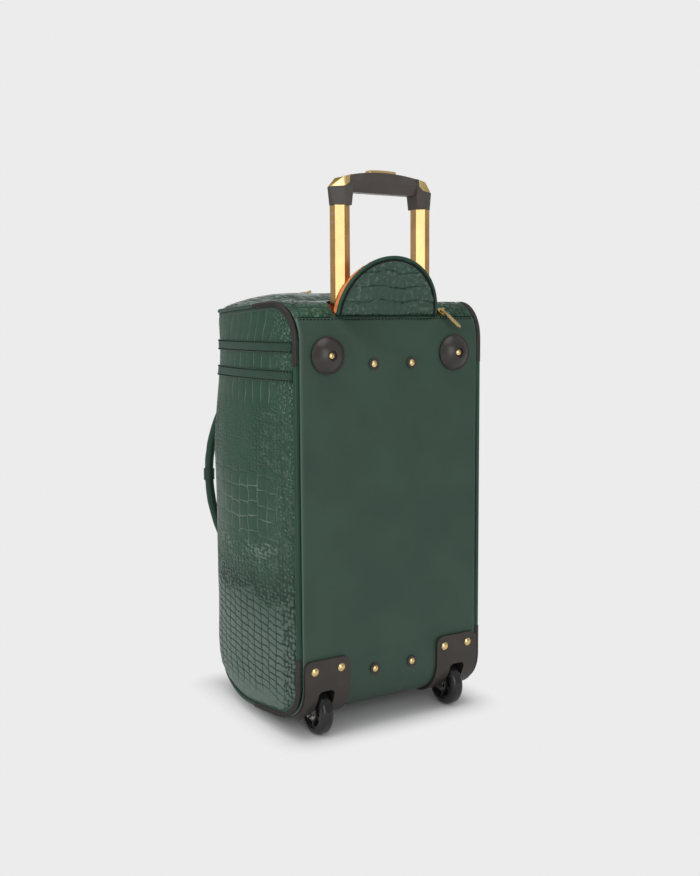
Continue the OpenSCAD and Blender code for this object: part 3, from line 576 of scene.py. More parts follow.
@dataclass(frozen=True)
class Moulded(Finish):
    """Moulded plastic or rubber with a fine spark grain."""

    tone: Colour = (0.022, 0.020, 0.019)
    rough: float = 0.42
    grain: float = 0.5
    depth: float = 0.00003

    def paint(self, net: Net) -> None:
        """Lays spark grain, faint flow marks and uneven shine."""
        place = net.place()
        sparks = net.noise(place, 1000 / self.grain, 2.0, 0.6)
        flow = net.noise(place, 30.0, 3.0)
        light = tuple(c * 1.5 + 0.004 for c in self.tone)
        net.surface(
            Base_Color=net.tint(self.tone, light, flow.ease(0.35, 0.75) * 0.6),
            Roughness=flow * 0.16 + sparks * 0.08 + (self.rough - 0.12),
            Normal=net.relief(sparks, self.depth),
        )


@dataclass(frozen=True)
class Metal(Finish):
    """Plated or anodised metal with fine drawn lines along the height."""

    tone: Colour = (0.80, 0.58, 0.22)
    rough: float = 0.24
    drawn: float = 0.00001
    rim: Colour = (0.92, 0.66, 0.30)

    def paint(self, net: Net) -> None:
        """Lays drawn lines and a faint haze."""
        place = net.place()
        lines = net.noise(net.scaled(place, (2600.0, 2600.0, 60.0)), 1.0, 2.0)
        haze = net.noise(place, 45.0, 3.0)
        dark = tuple(c * 0.84 for c in self.tone)
        net.surface(
            Specular_Tint=self.rim,
            Base_Color=net.tint(dark, self.tone, haze.ease(0.3, 0.6)),
            Metallic=1.0,
            Roughness=haze * 0.1 + lines * 0.06 + (self.rough - 0.08),
            Normal=net.relief(lines, self.drawn),
        )


@dataclass(frozen=True)
class Woven(Finish):
    """Woven cloth on the skin coordinates."""

    tone: Colour = (1.0, 0.33, 0.10)
    rough: float = 0.5
    pitch: float = 0.7
    depth: float = 0.00008

    def paint(self, net: Net) -> None:
        """Lays warp and weft threads, with uneven dye."""
        across, up, _ = net.parts(net.skin())
        turn = 2000 * math.pi / self.pitch
        warp = (across * turn).sine().size()
        weft = (up * turn).sine().size()
        side = ((across * turn / 2).sine() * (up * turn / 2).sine()).ease(-0.2, 0.2)
        thread = warp.toward(weft, side)
        cloud = net.noise(net.skin(), 60.0, 3.0)
        deep = tuple(c * 0.72 for c in self.tone)
        net.surface(
            Specular_IOR_Level=0.15,
            Base_Color=net.tint(deep, self.tone, thread * 0.6 + cloud.ease(0.3, 0.7) * 0.4),
            Roughness=(1 - thread) * 0.12 + (self.rough - 0.04),
            Normal=net.relief(thread, self.depth),
        )


class Finishes:
    """The finishes of the bag, by what they are on."""

    # The panel's edge value places a painted highlight along its rolled edges.
    PANEL = SmoothLeather("panel_leather", edge=0.1240, gloss=0.48)
    FOLD = SmoothLeather("fold_leather")
    TRIM = SmoothLeather(
        "trim_leather", tone=(0.017, 0.062, 0.037), deep=(0.013, 0.048, 0.028),
        rough=0.4, pore=0.9, gloss=0.36,
    )
    WALL = ScaledLeather("wall_scales")
    END = ScaledLeather("end_scales", hide=Hide.END, depth=0.0012)
    FLAP = ScaledLeather(
        "flap_scales", hide=Hide.FLAP, tone=(0.037, 0.076, 0.055), depth=0.0022, rough=0.38, shine=0.6
    )
    BLACK = Moulded("black_plastic", tone=(0.031, 0.024, 0.020))
    FOOT = Moulded("foot_plastic", rough=0.30, tone=(0.026, 0.021, 0.018))
    GRIP = Moulded("grip_plastic", tone=(0.054, 0.045, 0.038), rough=0.5, grain=0.7, depth=0.00005)
    TYRE = Moulded("tyre_rubber", tone=(0.012, 0.011, 0.011), rough=0.22, depth=0.00001)
    HUB = Moulded("hub_plastic", tone=(0.016, 0.015, 0.015), rough=0.34)
    RIBBED = Moulded("ribbed_cover", tone=(0.030, 0.025, 0.022), rough=0.42, grain=0.35)
    BOARD = Moulded("stiff_board", tone=(0.10, 0.09, 0.08), rough=0.8, grain=0.9, depth=0.0001)
    GOLD = Metal("gold_plate", tone=(0.92, 0.68, 0.32), rough=0.2)
    TUBE = Metal("gold_tube", tone=(0.80, 0.50, 0.225), rough=0.31, rim=(1.0, 0.80, 0.45))
    STEEL = Metal("steel", tone=(0.58, 0.58, 0.60), rough=0.26, rim=(0.9, 0.9, 0.9))
    CHANNEL = Metal("channel_metal", tone=(0.52, 0.53, 0.55), rough=0.36, rim=(0.9, 0.9, 0.9))
    ORANGE = Woven("orange_lining")
    TAPE = Woven("zip_tape", tone=(0.014, 0.014, 0.014), rough=0.7, pitch=0.9)
    THREAD = Woven("black_thread", tone=(0.012, 0.013, 0.012), rough=0.6, pitch=0.35)


# ---- Mesh kit ------------------------------------------------------------


def linked(name: str, data: bpy.types.ID) -> bpy.types.Object:
    """Puts an object with some data in the scene."""
    obj = bpy.data.objects.new(name, data)
    bpy.context.scene.collection.objects.link(obj)
    return obj


def smooth_faces(mesh: bpy.types.Mesh) -> None:
    """Shades a mesh smooth."""
    mesh.polygons.foreach_set("use_smooth", [True] * len(mesh.polygons))


def lay_skin(mesh: bpy.types.Mesh, flat: np.ndarray) -> None:
    """Gives a mesh the flat coordinates of its vertices."""
    layer = mesh.uv_layers.new(name="skin")
    corner = np.empty(len(mesh.loops), np.int32)
    mesh.loops.foreach_get("vertex_index", corner)
    layer.data.foreach_set("uv", np.asarray(flat, np.float32)[corner].ravel())


def one_finish(obj: bpy.types.Object, finish: "Finish") -> None:
    """Gives all of an object's faces one finish."""
    obj.data.materials.clear()
    obj.data.materials.append(finish.material())
    obj.data.polygons.foreach_set("material_index", [0] * len(obj.data.polygons))


def opened(node: str) -> tuple[bpy.types.Mesh, bmesh.types.BMesh]:
    """Copies a part's mesh and opens the copy for work.

    Args:
        node: The part's name.

    Returns:
        The mesh, and its open geometry with doubles merged.
    """
    mesh = bpy.data.objects[node].data.copy()
    bm = bmesh.new()
    bm.from_mesh(mesh)
    bmesh.ops.remove_doubles(bm, verts=bm.verts, dist=2e-6)
    return mesh, bm


def written(
    mesh: bpy.types.Mesh, bm: bmesh.types.BMesh, name: str, finish: "Finish"
) -> bpy.types.Object:
    """Writes worked geometry back to its mesh.

    Args:
        mesh: The mesh.
        bm: Its open geometry, which this closes.
        name: The name of the new object.
        finish: Its finish.

    Returns:
        The mesh as an object.
    """
    bm.to_mesh(mesh)
    bm.free()
    if mesh.has_custom_normals:
        mesh.attributes.remove(mesh.attributes["custom_normal"])
    mesh.materials.clear()
    mesh.materials.append(finish.material())
    return linked(name, mesh)


def mesh_piece(
    name: str,
    points: np.ndarray,
    faces: Sequence[Sequence[int]],
    skin: Optional[np.ndarray] = None,
    material: Optional[bpy.types.Material] = None,
) -> bpy.types.Object:
    """Makes a smooth-shaded mesh object.

    Args:
        name: The object's name.
        points: Its vertices, in metres.
        faces: Its faces by vertex number.
        skin: Flat coordinates of each vertex, in metres.
        material: Its finish.

    Returns:
        The object.
    """
    mesh = bpy.data.meshes.new(name)
    mesh.from_pydata([tuple(p) for p in points], [], [tuple(f) for f in faces])
    smooth_faces(mesh)
    if skin is not None:
        lay_skin(mesh, skin)
    if material is not None:
        mesh.materials.append(material)
    mesh.update()
    return linked(name, mesh)


def grid_faces(rows: int, columns: int, ring: bool = False) -> list[tuple[int, ...]]:
    """Quads of a grid of points.

    Args:
        rows: Points along the first direction.
        columns: Points along the second.
        ring: Whether the second direction closes on itself.

    Returns:
        The faces.
    """
    reach = columns if ring else columns - 1
    return [
        (
            i * columns + k,
            (i + 1) * columns + k,
            (i + 1) * columns + (k + 1) % columns,
            i * columns + (k + 1) % columns,
        )
        for i in range(rows - 1)
        for k in range(reach)
    ]


def grid_piece(
    name: str,
    points: np.ndarray,
    skin: np.ndarray,
    material: bpy.types.Material,
    keep: Optional[Callable[[np.ndarray], bool]] = None,
) -> bpy.types.Object:
    """Makes an open sheet from a grid of points.

    Args:
        name: The object's name.
        points: Array of rows by columns by 3.
        skin: Array of rows by columns by 2.
        material: The finish.
        keep: Says of a face's middle whether it stays.

    Returns:
        The object.
    """
    rows, columns = points.shape[:2]
    flat = points.reshape(-1, 3)
    faces = grid_faces(rows, columns)
    if keep is not None:
        faces = [f for f in faces if keep(flat[list(f)].mean(0))]
        used = sorted({v for f in faces for v in f})
        new = {v: i for i, v in enumerate(used)}
        faces = [tuple(new[v] for v in f) for f in faces]
        flat, skin = flat[used], skin.reshape(-1, 2)[used]
    return mesh_piece(name, flat, faces, skin.reshape(-1, 2), material)


def freeze(obj: bpy.types.Object) -> bpy.types.Object:
    """Replaces an object's modifiers by the mesh that they make.

    Args:
        obj: The object.

    Returns:
        The same object.
    """
    graph = bpy.context.evaluated_depsgraph_get()
    mesh = bpy.data.meshes.new_from_object(obj.evaluated_get(graph))
    mesh.name = obj.name
    obj.modifiers.clear()
    obj.data = mesh
    return obj


def thicken(obj: bpy.types.Object, wall: float, outward: float = -1.0) -> bpy.types.Object:
    """Gives a sheet its thickness.

    Args:
        obj: The sheet.
        wall: The thickness in metres.
        outward: -1 puts it behind the sheet, 0 on both sides.

    Returns:
        The same object, solid.
    """
    made = obj.modifiers.new("wall", "SOLIDIFY")
    made.thickness = wall
    made.offset = outward
    made.use_even_offset = False
    return freeze(obj)


def face_out(obj: bpy.types.Object) -> bpy.types.Object:
    """Turns a closed mesh's faces outwards after merging its doubles."""
    bm = bmesh.new()
    bm.from_mesh(obj.data)
    bmesh.ops.remove_doubles(bm, verts=bm.verts, dist=1e-6)
    bmesh.ops.recalc_face_normals(bm, faces=bm.faces)
    bm.to_mesh(obj.data)
    bm.free()
    return obj


def unit(rows: np.ndarray) -> np.ndarray:
    """Rows scaled to length 1."""
    return rows / np.maximum(np.linalg.norm(rows, axis=-1, keepdims=True), 1e-12)


def bounded(share: np.ndarray) -> np.ndarray:
    """Values kept from 0 to 1."""
    return np.clip(share, 0, 1)


def together(*parts: Union[np.ndarray, float]) -> np.ndarray:
    """Stacks values of shapes that fit each other along a new last place."""
    return np.stack(np.broadcast_arrays(*parts), -1)


def frames_along(path: np.ndarray, up: np.ndarray) -> tuple[np.ndarray, np.ndarray]:
    """Two directions square to a path at each of its points.

    Args:
        path: The points.
        up: A direction near the first of the two, for all points or each.

    Returns:
        The direction nearest up, and the one square to it and to the path.
    """
    along = unit(np.gradient(path, axis=0))
    up = np.broadcast_to(up, path.shape)
    first = unit(up - (up * along).sum(1, keepdims=True) * along)
    return first, np.cross(along, first)


def arc_lengths(path: np.ndarray) -> np.ndarray:
    """Distance along a path of each of its points."""
    steps = np.linalg.norm(np.diff(path, axis=0), axis=1)
    return np.concatenate([[0.0], np.cumsum(steps)])


def tube_piece(
    name: str,
    path: np.ndarray,
    radius: Union[float, np.ndarray],
    material: bpy.types.Material,
    up: np.ndarray = np.array([0.0, 0.0, 1.0]),
    sides: int = 16,
    wide: float = 1.0,
    squareness: float = 1.0,
) -> bpy.types.Object:
    """Makes a closed bar that follows a path.

    Args:
        name: The object's name.
        path: The points of its middle line.
        radius: Its half thickness along up, for all points or each.
        material: Its finish.
        up: The direction of its thickness.
        sides: Points round it.
        wide: Its width as a share of its thickness.
        squareness: 1 for round, less for a section with blunt corners.

    Returns:
        The object.
    """
    first, second = frames_along(path, up)
    turn = np.linspace(0, 2 * np.pi, sides, endpoint=False)
    ca, sa = np.cos(turn), np.sin(turn)
    ca, sa = np.sign(ca) * abs(ca) ** squareness, np.sign(sa) * abs(sa) ** squareness
    reach = np.broadcast_to(radius, (len(path),))[:, None, None]
    rings = path[:, None] + reach * (
        ca[None, :, None] * first[:, None] + wide * sa[None, :, None] * second[:, None]
    )
    count = len(path)
    points = np.concatenate([rings.reshape(-1, 3), path[[0]], path[[-1]]])
    faces = grid_faces(count, sides, ring=True)
    last = (count - 1) * sides
    for k in range(sides):
        after = (k + 1) % sides
        faces.append((count * sides, k, after))
        faces.append((count * sides + 1, last + after, last + k))
    far = arc_lengths(path)
    size = float(np.mean(reach))
    skin = together(far[:, None], turn[None] * size).reshape(-1, 2)
    skin = np.concatenate([skin, [[far[0], 0.0]], [[far[-1], 0.0]]])
    return face_out(mesh_piece(name, points, faces, skin, material))


def union_piece(name: str, pieces: Sequence[bpy.types.Object]) -> bpy.types.Object:
    """Joins meshes into the first one.

    Args:
        name: The joined object's name.
        pieces: The objects, of which the first is kept.

    Returns:
        The joined object.
    """
    bm = bmesh.new()
    kept = pieces[0]
    materials: list[bpy.types.Material] = []
    for piece in pieces:
        start = len(bm.faces)
        slots = [materials.index(m) if m in materials else len(materials) for m in piece.data.materials]
        for m in piece.data.materials:
            if m not in materials:
                materials.append(m)
        bm.from_mesh(piece.data)
        bm.faces.ensure_lookup_table()
        for face in bm.faces[start:]:
            face.material_index = slots[face.material_index] if slots else 0
    mesh = bpy.data.meshes.new(name)
    bm.to_mesh(mesh)
    bm.free()
    for m in materials:
        mesh.materials.append(m)
    for piece in pieces[1:]:
        bpy.data.objects.remove(piece)
    kept.data = mesh
    kept.name = name
    return kept


def smooth(t: np.ndarray) -> np.ndarray:
    """A soft step from 0 to 1.

    Args:
        t: How far along the step.

    Returns:
        The step's height.
    """
    t = bounded(t)
    return t * t * (3 - 2 * t)


def soft_noise(points: np.ndarray, size: float, seed: float) -> np.ndarray:
    """Smooth noise from about -1 to 1 at each point.

    Args:
        points: Array with 3 numbers in its last place.
        size: Length of its waves in metres.
        seed: Shifts it to another part of the noise.

    Returns:
        One number for each point.
    """
    flat = points.reshape(-1, 3) / size
    values = [noise.noise(Vector((p[0] + seed, p[1], p[2]))) for p in flat]
    return np.array(values).reshape(points.shape[:-1])


def softened(
    node: str,
    finish: Finish,
    width: float = 0.0006,
    segments: int = 2,
    angle: float = 30.0,
) -> bpy.types.Object:
    """Copies a rigid part with its sharp edges eased, and stands it in for the part.

    Args:
        node: The part's name.
        finish: Its finish.
        width: Width of the eased edges in metres.
        segments: Facets of an eased edge.
        angle: Outer edges sharper than this many degrees are eased.

    Returns:
        The copy.
    """
    mesh, bm = opened(node)
    bmesh.ops.dissolve_limit(bm, angle_limit=math.radians(0.1), verts=bm.verts, edges=bm.edges)
    share = bm.edges.layers.float.new("bevel_weight_edge")
    for edge in bm.edges:
        outward = edge.is_manifold and edge.calc_face_angle_signed() > math.radians(angle)
        edge[share] = 1.0 if outward and edge.calc_length() > width / 4 else 0.0
    obj = written(mesh, bm, f"{node}_eased", finish)
    smooth_faces(mesh)
    mesh.set_sharp_from_angle(angle=math.radians(38))
    if width > 0:
        made = obj.modifiers.new("eased", "BEVEL")
        made.harden_normals = True
        made.limit_method = "WEIGHT"
        made.width = width
        made.segments = segments
        made.use_clamp_overlap = True
        freeze(obj)
    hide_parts(node)
    return obj


def supple(
    node: str, finish: Finish, voxel: float, wave: float = 0.0003, seed: float = 0.0
) -> bpy.types.Object:
    """Copies a soft part as worked leather: rounded edges and a slightly uneven face.

    Args:
        node: The part's name.
        finish: Its finish.
        voxel: Fineness of the copy in metres.
        wave: Height of the unevenness.
        seed: Which part of the noise it takes.

    Returns:
        The copy, standing in for the part.
    """
    obj = written(*opened(node), f"{node}_worked", finish)
    made = obj.modifiers.new("even", "REMESH")
    made.mode = "VOXEL"
    made.voxel_size = voxel
    ease = obj.modifiers.new("ease", "SMOOTH")
    ease.factor = 0.5
    ease.iterations = 3
    freeze(obj)
    mesh = obj.data
    co = np.empty(len(mesh.vertices) * 3, np.float32)
    mesh.vertices.foreach_get("co", co)
    co = co.reshape(-1, 3)
    normal = np.empty(len(mesh.vertices) * 3, np.float32)
    mesh.vertex_normals.foreach_get("vector", normal)
    co = co + normal.reshape(-1, 3) * soft_noise(co, 0.012, seed)[:, None] * wave
    mesh.vertices.foreach_set("co", co.astype(np.float32).ravel())
    lay_skin(mesh, co[:, [0, 2]])
    smooth_faces(mesh)
    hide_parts(node)
    return obj


# ---- Runs of small parts -------------------------------------------------


class Small(Enum):
    """A small part that is repeated along a path."""

    STITCH = "stitch"
    RIB = "rib"
    TOOTH = "tooth"


@dataclass
class Run:
    """Small parts set along a path by a node tree.

    The path's points may carry a direction named up.
    """

    small: Small
    pitch: float
    length: float
    width: float
    height: float
    finish: Finish
    tree: bpy.types.NodeTree = field(init=False)
    inputs: dict[str, str] = field(init=False, default_factory=dict)

    def __post_init__(self) -> None:
        """Builds the tree."""
        self.tree = bpy.data.node_groups.new(f"run_of_{self.small.value}", "GeometryNodeTree")
        face = self.tree.interface
        sockets = [("Path", "Geometry"), ("Pitch", "Float"), ("Length", "Float")]
        sockets += [("Width", "Float"), ("Height", "Float"), ("Finish", "Material")]
        for name, kind in sockets:
            made = face.new_socket(name=name, in_out="INPUT", socket_type=f"NodeSocket{kind}")
            self.inputs[name] = made.identifier
        face.new_socket(name="Parts", in_out="OUTPUT", socket_type="NodeSocketGeometry")
        self._lay()

    def _add(self, kind: str, settings: Optional[dict] = None, **links: object) -> bpy.types.Node:
        """Adds a node to the tree.

        Args:
            kind: The node's type.
            settings: Its properties, set first.
            links: Sockets or values by input name, with _ for spaces.

        Returns:
            The node.
        """
        made = self.tree.nodes.new(kind)
        for key, value in (settings or {}).items():
            setattr(made, key, value)
        for key, value in links.items():
            socket = made.inputs[key.replace("_", " ")]
            if isinstance(value, bpy.types.NodeSocket):
                self.tree.links.new(value, socket)
            else:
                socket.default_value = value
        return made

    def _shape(self, given: bpy.types.Node) -> bpy.types.NodeSocket:
        """The geometry of one small part, lying along X with Z up.

        Args:
            given: The tree's input node.

        Returns:
            The geometry socket.
        """
        out = given.outputs
        if self.small is Small.RIB:
            ring = self._add("GeometryNodeCurvePrimitiveCircle", Resolution=14, Radius=out["Width"])
            wire = self._add("GeometryNodeCurvePrimitiveCircle", Resolution=5, Radius=out["Height"])
            made = self._add(
                "GeometryNodeCurveToMesh",
                Curve=ring.outputs["Curve"],
                Profile_Curve=wire.outputs["Curve"],
            )
            turned = self._add(
                "GeometryNodeTransform",
                Geometry=made.outputs[0],
                Rotation=(0.0, math.pi / 2, 0.0),
            )
            return turned.outputs[0]
        size = self._add(
            "ShaderNodeCombineXYZ", X=out["Length"], Y=out["Width"], Z=out["Height"]
        ).outputs[0]
        if self.small is Small.TOOTH:
            return self._add("GeometryNodeMeshCube", Size=size).outputs["Mesh"]
        ball = self._add("GeometryNodeMeshUVSphere", Segments=6, Rings=5, Radius=0.5)
        return self._add("GeometryNodeTransform", Geometry=ball.outputs["Mesh"], Scale=size).outputs[0]

    def _lay(self) -> None:
        """Lays the tree's nodes."""
        given = self.tree.nodes.new("NodeGroupInput")
        out = given.outputs
        curve = self._add("GeometryNodeMeshToCurve", Mesh=out["Path"])
        spots = self._add(
            "GeometryNodeCurveToPoints",
            {"mode": "LENGTH"},
            Curve=curve.outputs[0],
            Length=out["Pitch"],
        )
        up = self._add("GeometryNodeInputNamedAttribute", {"data_type": "FLOAT_VECTOR"}, Name="up")
        first = self._add(
            "FunctionNodeAlignRotationToVector", {"axis": "X"}, Vector=spots.outputs["Tangent"]
        )
        turned = self._add(
            "FunctionNodeAlignRotationToVector",
            {"axis": "Z", "pivot_axis": "X"},
            Rotation=first.outputs[0],
            Vector=up.outputs[0],
        )
        placed = self._add(
            "GeometryNodeInstanceOnPoints",
            Points=spots.outputs["Points"],
            Instance=self._shape(given),
            Rotation=turned.outputs[0],
        )
        real = self._add("GeometryNodeRealizeInstances", Geometry=placed.outputs[0])
        dyed = self._add("GeometryNodeSetMaterial", Geometry=real.outputs[0], Material=out["Finish"])
        shade = self._add(
            "GeometryNodeSetShadeSmooth",
            Geometry=dyed.outputs[0],
            Shade_Smooth=self.small is not Small.TOOTH,
        )
        end = self.tree.nodes.new("NodeGroupOutput")
        self.tree.links.new(shade.outputs[0], end.inputs[0])

    def along(self, name: str, paths: Sequence[tuple[np.ndarray, np.ndarray]]) -> bpy.types.Object:
        """Sets the parts along some paths.

        Args:
            name: The made object's name.
            paths: Each path's points, and the directions that point up there.

        Returns:
            One plain mesh of all the parts.
        """
        points, edges, ups = [], [], []
        for path, up in paths:
            start = len(points)
            points += [tuple(p) for p in path]
            ups += [tuple(u) for u in np.broadcast_to(up, path.shape)]
            edges += [(start + i, start + i + 1) for i in range(len(path) - 1)]
        mesh = bpy.data.meshes.new(name)
        mesh.from_pydata(points, edges, [])
        layer = mesh.attributes.new("up", "FLOAT_VECTOR", "POINT")
        layer.data.foreach_set("vector", np.array(ups, np.float32).ravel())
        obj = linked(name, mesh)
        made = obj.modifiers.new("run", "NODES")
        made.node_group = self.tree
        values = {
            "Pitch": self.pitch,
            "Length": self.length,
            "Width": self.width,
            "Height": self.height,
            "Finish": self.finish.material(),
        }
        for key, value in values.items():
            made[self.inputs[key]] = value
        freeze(obj)
        one_finish(obj, self.finish)
        return obj


# ---- The bag's outlines --------------------------------------------------


@dataclass(frozen=True)
class BagForm:
    """The bag's outlines, in metres, in its own frame.

    The bag's own frame has its zero at the back panel's face and on the floor.
    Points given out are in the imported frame, which lies middle further forward.
    The two covers give the depths and heights at which the corner covers end.
    """

    middle: float
    width: float = 0.262
    depth: float = 0.247
    top: float = 0.518
    lift: float = 0.012
    back_lift: float = 0.0205
    corner: float = 0.047
    front: float = 0.050
    swell: float = 0.007
    fall: float = 0.008
    rise_start: float = 0.138
    rise: float = 0.180
    dome: float = 0.016
    belly: float = 0.0085
    hem: float = 0.499
    seam_in: float = 0.0035
    seam_side: float = 0.001
    cover: float = 0.007
    gap: float = 0.0003
    panel_reach: float = 0.070
    zip_half: float = 0.0045
    top_cover: tuple[float, float] = (0.091, 0.446)
    low_cover: tuple[float, float] = (0.099, 0.101)

    @property
    def low(self) -> float:
        """Height of the lower corner's middle."""
        return self.back_lift + self.corner

    @property
    def sag(self) -> float:
        """Slope of the bottom's straight stretch, from the back corner to the front's rise."""
        ahead, up = self.rise_start - self.corner, self.lift + self.rise - self.low
        turn = math.acos((self.rise - self.corner) / math.hypot(ahead, up))
        return math.atan2(ahead, up) - turn

    @property
    def high(self) -> float:
        """Height of the upper corner's middle."""
        return self.top - self.corner

    @property
    def edge_in(self) -> float:
        """How far the walls stay inside the back and top faces."""
        return self.seam_in + self.cover / 2 + self.gap

    @property
    def strip_in(self) -> float:
        """How far the panel and ends stay inside the side faces."""
        return self.seam_side + self.cover / 2 + self.gap

    @property
    def swell_y(self) -> float:
        """Depth of the middle of the side's swell."""
        return (self.depth - self.front) / 2

    @property
    def swell_r(self) -> float:
        """Radius of the side's swell."""
        return (self.swell_y**2 + self.swell**2) / (2 * self.swell)

    @property
    def swell_x(self) -> float:
        """Middle of the side's swell arc."""
        return self.width / 2 + self.swell - self.swell_r

    @property
    def join(self) -> float:
        """Angle at which the swell meets the front corner."""
        return math.asin((self.depth - self.front - self.swell_y) / (self.swell_r - self.front))

    @property
    def front_x(self) -> float:
        """Middle of the front corner."""
        return self.swell_x + (self.swell_r - self.front) * math.cos(self.join)

    @property
    def front_y(self) -> float:
        """Depth of the middle of the front corner."""
        return self.depth - self.front

    def half(self, y: np.ndarray, inset: float) -> np.ndarray:
        """Half width of the bag at a depth.

        Args:
            y: Depth in the bag's own frame.
            inset: How far inside the side face.

        Returns:
            The half width.
        """
        y = np.asarray(y, float)
        swell = self.swell_x + np.sqrt((self.swell_r - inset) ** 2 - (y - self.swell_y) ** 2)
        corner = np.clip((self.front - inset) ** 2 - (y - self.front_y) ** 2, 0, None)
        turn = self.swell_y + (self.swell_r - inset) * math.sin(self.join)
        return np.where(y > turn, self.front_x + np.sqrt(corner), swell)

    def plan(self, s: np.ndarray) -> tuple[np.ndarray, np.ndarray, np.ndarray, np.ndarray]:
        """The side's outline seen from above, by its length from the back.

        Args:
            s: Length along the outline.

        Returns:
            x, y and the outward direction's x and y.
        """
        back = -math.asin(self.swell_y / self.swell_r)
        first = self.swell_r * (self.join - back)
        second = self.front * (math.pi / 2 - self.join)
        a = back + s / self.swell_r
        b = self.join + (s - first) / self.front
        over = s - first - second
        x = self.swell_x + self.swell_r * np.cos(a)
        y = self.swell_y + self.swell_r * np.sin(a)
        x = np.where(s > first, self.front_x + self.front * np.cos(b), x)
        y = np.where(s > first, self.front_y + self.front * np.sin(b), y)
        x = np.where(over > 0, self.front_x - over, x)
        y = np.where(over > 0, self.depth, y)
        turn = np.where(s > first, np.minimum(b, math.pi / 2), a)
        return x, y, np.cos(turn), np.sin(turn)

    @property
    def plan_length(self) -> float:
        """Length of the side's outline from the back to the zip."""
        back = -math.asin(self.swell_y / self.swell_r)
        return (
            self.swell_r * (self.join - back)
            + self.front * (math.pi / 2 - self.join)
            + self.front_x
            - self.zip_half
        )

    def reach_of(self, y: float) -> float:
        """Length along the outline at a depth before the front corner."""
        back = -math.asin(self.swell_y / self.swell_r)
        return self.swell_r * (math.asin((y - self.swell_y) / self.swell_r) - back)

    def over(self, y: np.ndarray, inset: float) -> np.ndarray:
        """Height of the top, in front of the back corner."""
        fall = self.fall * (y - self.corner) / (self.depth - self.corner)
        return self.top - inset - fall

    def under(self, y: np.ndarray, inset: float) -> np.ndarray:
        """Height of the bottom, in front of the back corner."""
        y = np.asarray(y, float)
        first = self.corner - (self.corner - inset) * math.sin(self.sag)
        second = self.rise_start - (self.rise - inset) * math.sin(self.sag)
        flat = self.low - (self.corner - inset) * math.cos(self.sag)
        root = np.sqrt(np.clip((self.rise - inset) ** 2 - (y - self.rise_start) ** 2, 0, None))
        slope = flat - (y - first) * math.tan(self.sag)
        return np.where(y < second, slope, self.lift + self.rise - root)

    def side_limits(self, y: np.ndarray, inset: float) -> tuple[np.ndarray, np.ndarray]:
        """Lowest and highest points of the side outline at a depth.

        Args:
            y: Depth in the bag's own frame.
            inset: How far inside the outline.

        Returns:
            The two heights.
        """
        y = np.asarray(y, float)
        bend = np.sqrt(np.clip((self.corner - inset) ** 2 - (self.corner - y) ** 2, 0, None))
        turn = self.corner - (self.corner - inset) * math.sin(self.sag)
        low = np.where(y < turn, self.low - bend, self.under(y, inset))
        high = np.where(y < self.corner, self.high + bend, self.over(y, inset))
        return low, high

    def edge_gap(self, y: np.ndarray, z: np.ndarray, inset: float) -> np.ndarray:
        """Distance inside the side outline.

        Args:
            y: Depth.
            z: Height.
            inset: How far inside the outline the distance starts.

        Returns:
            The distance, negative outside.
        """
        low, high = self.side_limits(np.maximum(y, self.corner), inset)
        gap = np.minimum(high - z, z - low)
        for middle, beyond in ((self.high, z > self.high), (self.low, z < self.low)):
            bend = self.corner - inset - np.hypot(self.corner - y, z - middle)
            gap = np.where((y < self.corner) & beyond, bend, gap)
        level = (y < self.corner) & (z <= self.high) & (z >= self.low)
        return np.where(level, y - inset, gap)

    def dome_z(self, x: np.ndarray, y: np.ndarray) -> np.ndarray:
        """Height of the padded swell on the top end."""
        middle_y = (self.panel_reach + self.depth) / 2 - 0.008
        along = (0.092**2 + self.dome**2) / (2 * self.dome)
        drop = along - np.sqrt(along**2 - (y - middle_y) ** 2)
        drop += self.dome * (2 * x / self.width) ** 4
        return self.top - 0.002 + self.dome - drop

    def wall_lift(self, s: np.ndarray, y: np.ndarray, z: np.ndarray) -> np.ndarray:
        """How far the soft wall stands out from its outline.

        Args:
            s: Length along the outline.
            y: Depth.
            z: Height.

        Returns:
            The distance in metres, negative inwards.
        """
        gap = np.minimum(self.edge_gap(y, z, self.edge_in), self.plan_length - s)
        gap = np.maximum(gap, 0)
        where = together(s, z, 0.0)
        slack = soft_noise(where, 0.085, 3.0) * 0.0012 + soft_noise(where, 0.03, 9.0) * 0.0004
        rolled = -0.0017 * bounded(1 - gap / 0.0055) ** 2
        turn = self.swell_r * (self.join + math.asin(self.swell_y / self.swell_r))
        along = smooth((s - 0.035) / (turn - 0.035)) * smooth((turn + 0.066 - s) / 0.045)
        rolled += self.belly * along * smooth((0.465 - z) / 0.14) * smooth((z + 0.006) / 0.085)
        pleat = np.sin((z + y * 0.8) * 2 * np.pi / 0.017 + 4 * soft_noise(where, 0.05, 5.0))
        pucker = 0.00045 * pleat * np.exp(-gap / 0.008) * bounded(gap / 0.003)
        return rolled + pucker + (slack - 0.0004) * bounded(gap / 0.02)

    def wall_at(
        self, side: int, s: np.ndarray, z: np.ndarray, out: float = 0.0
    ) -> tuple[np.ndarray, np.ndarray]:
        """Points on the soft wall.

        Args:
            side: -1 for left, 1 for right.
            s: Length along the outline from the back.
            z: Height.
            out: How far outside the leather's face.

        Returns:
            The points and the directions out of the wall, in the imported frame.
        """
        s, z = np.broadcast_arrays(np.asarray(s, float), np.asarray(z, float))
        x, y, nx, ny = self.plan(s)
        lift = self.wall_lift(s, y, z) + out
        point = together(side * (x + lift * nx), y + lift * ny - self.middle, z)
        normal = together(side * nx, ny, 0.0)
        return point, normal

    def packed(self, x: np.ndarray, y: np.ndarray, z: np.ndarray) -> np.ndarray:
        """Points of the bag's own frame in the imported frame."""
        x, y, z = np.broadcast_arrays(x, y, z)
        return together(x, y - self.middle, z).astype(float)

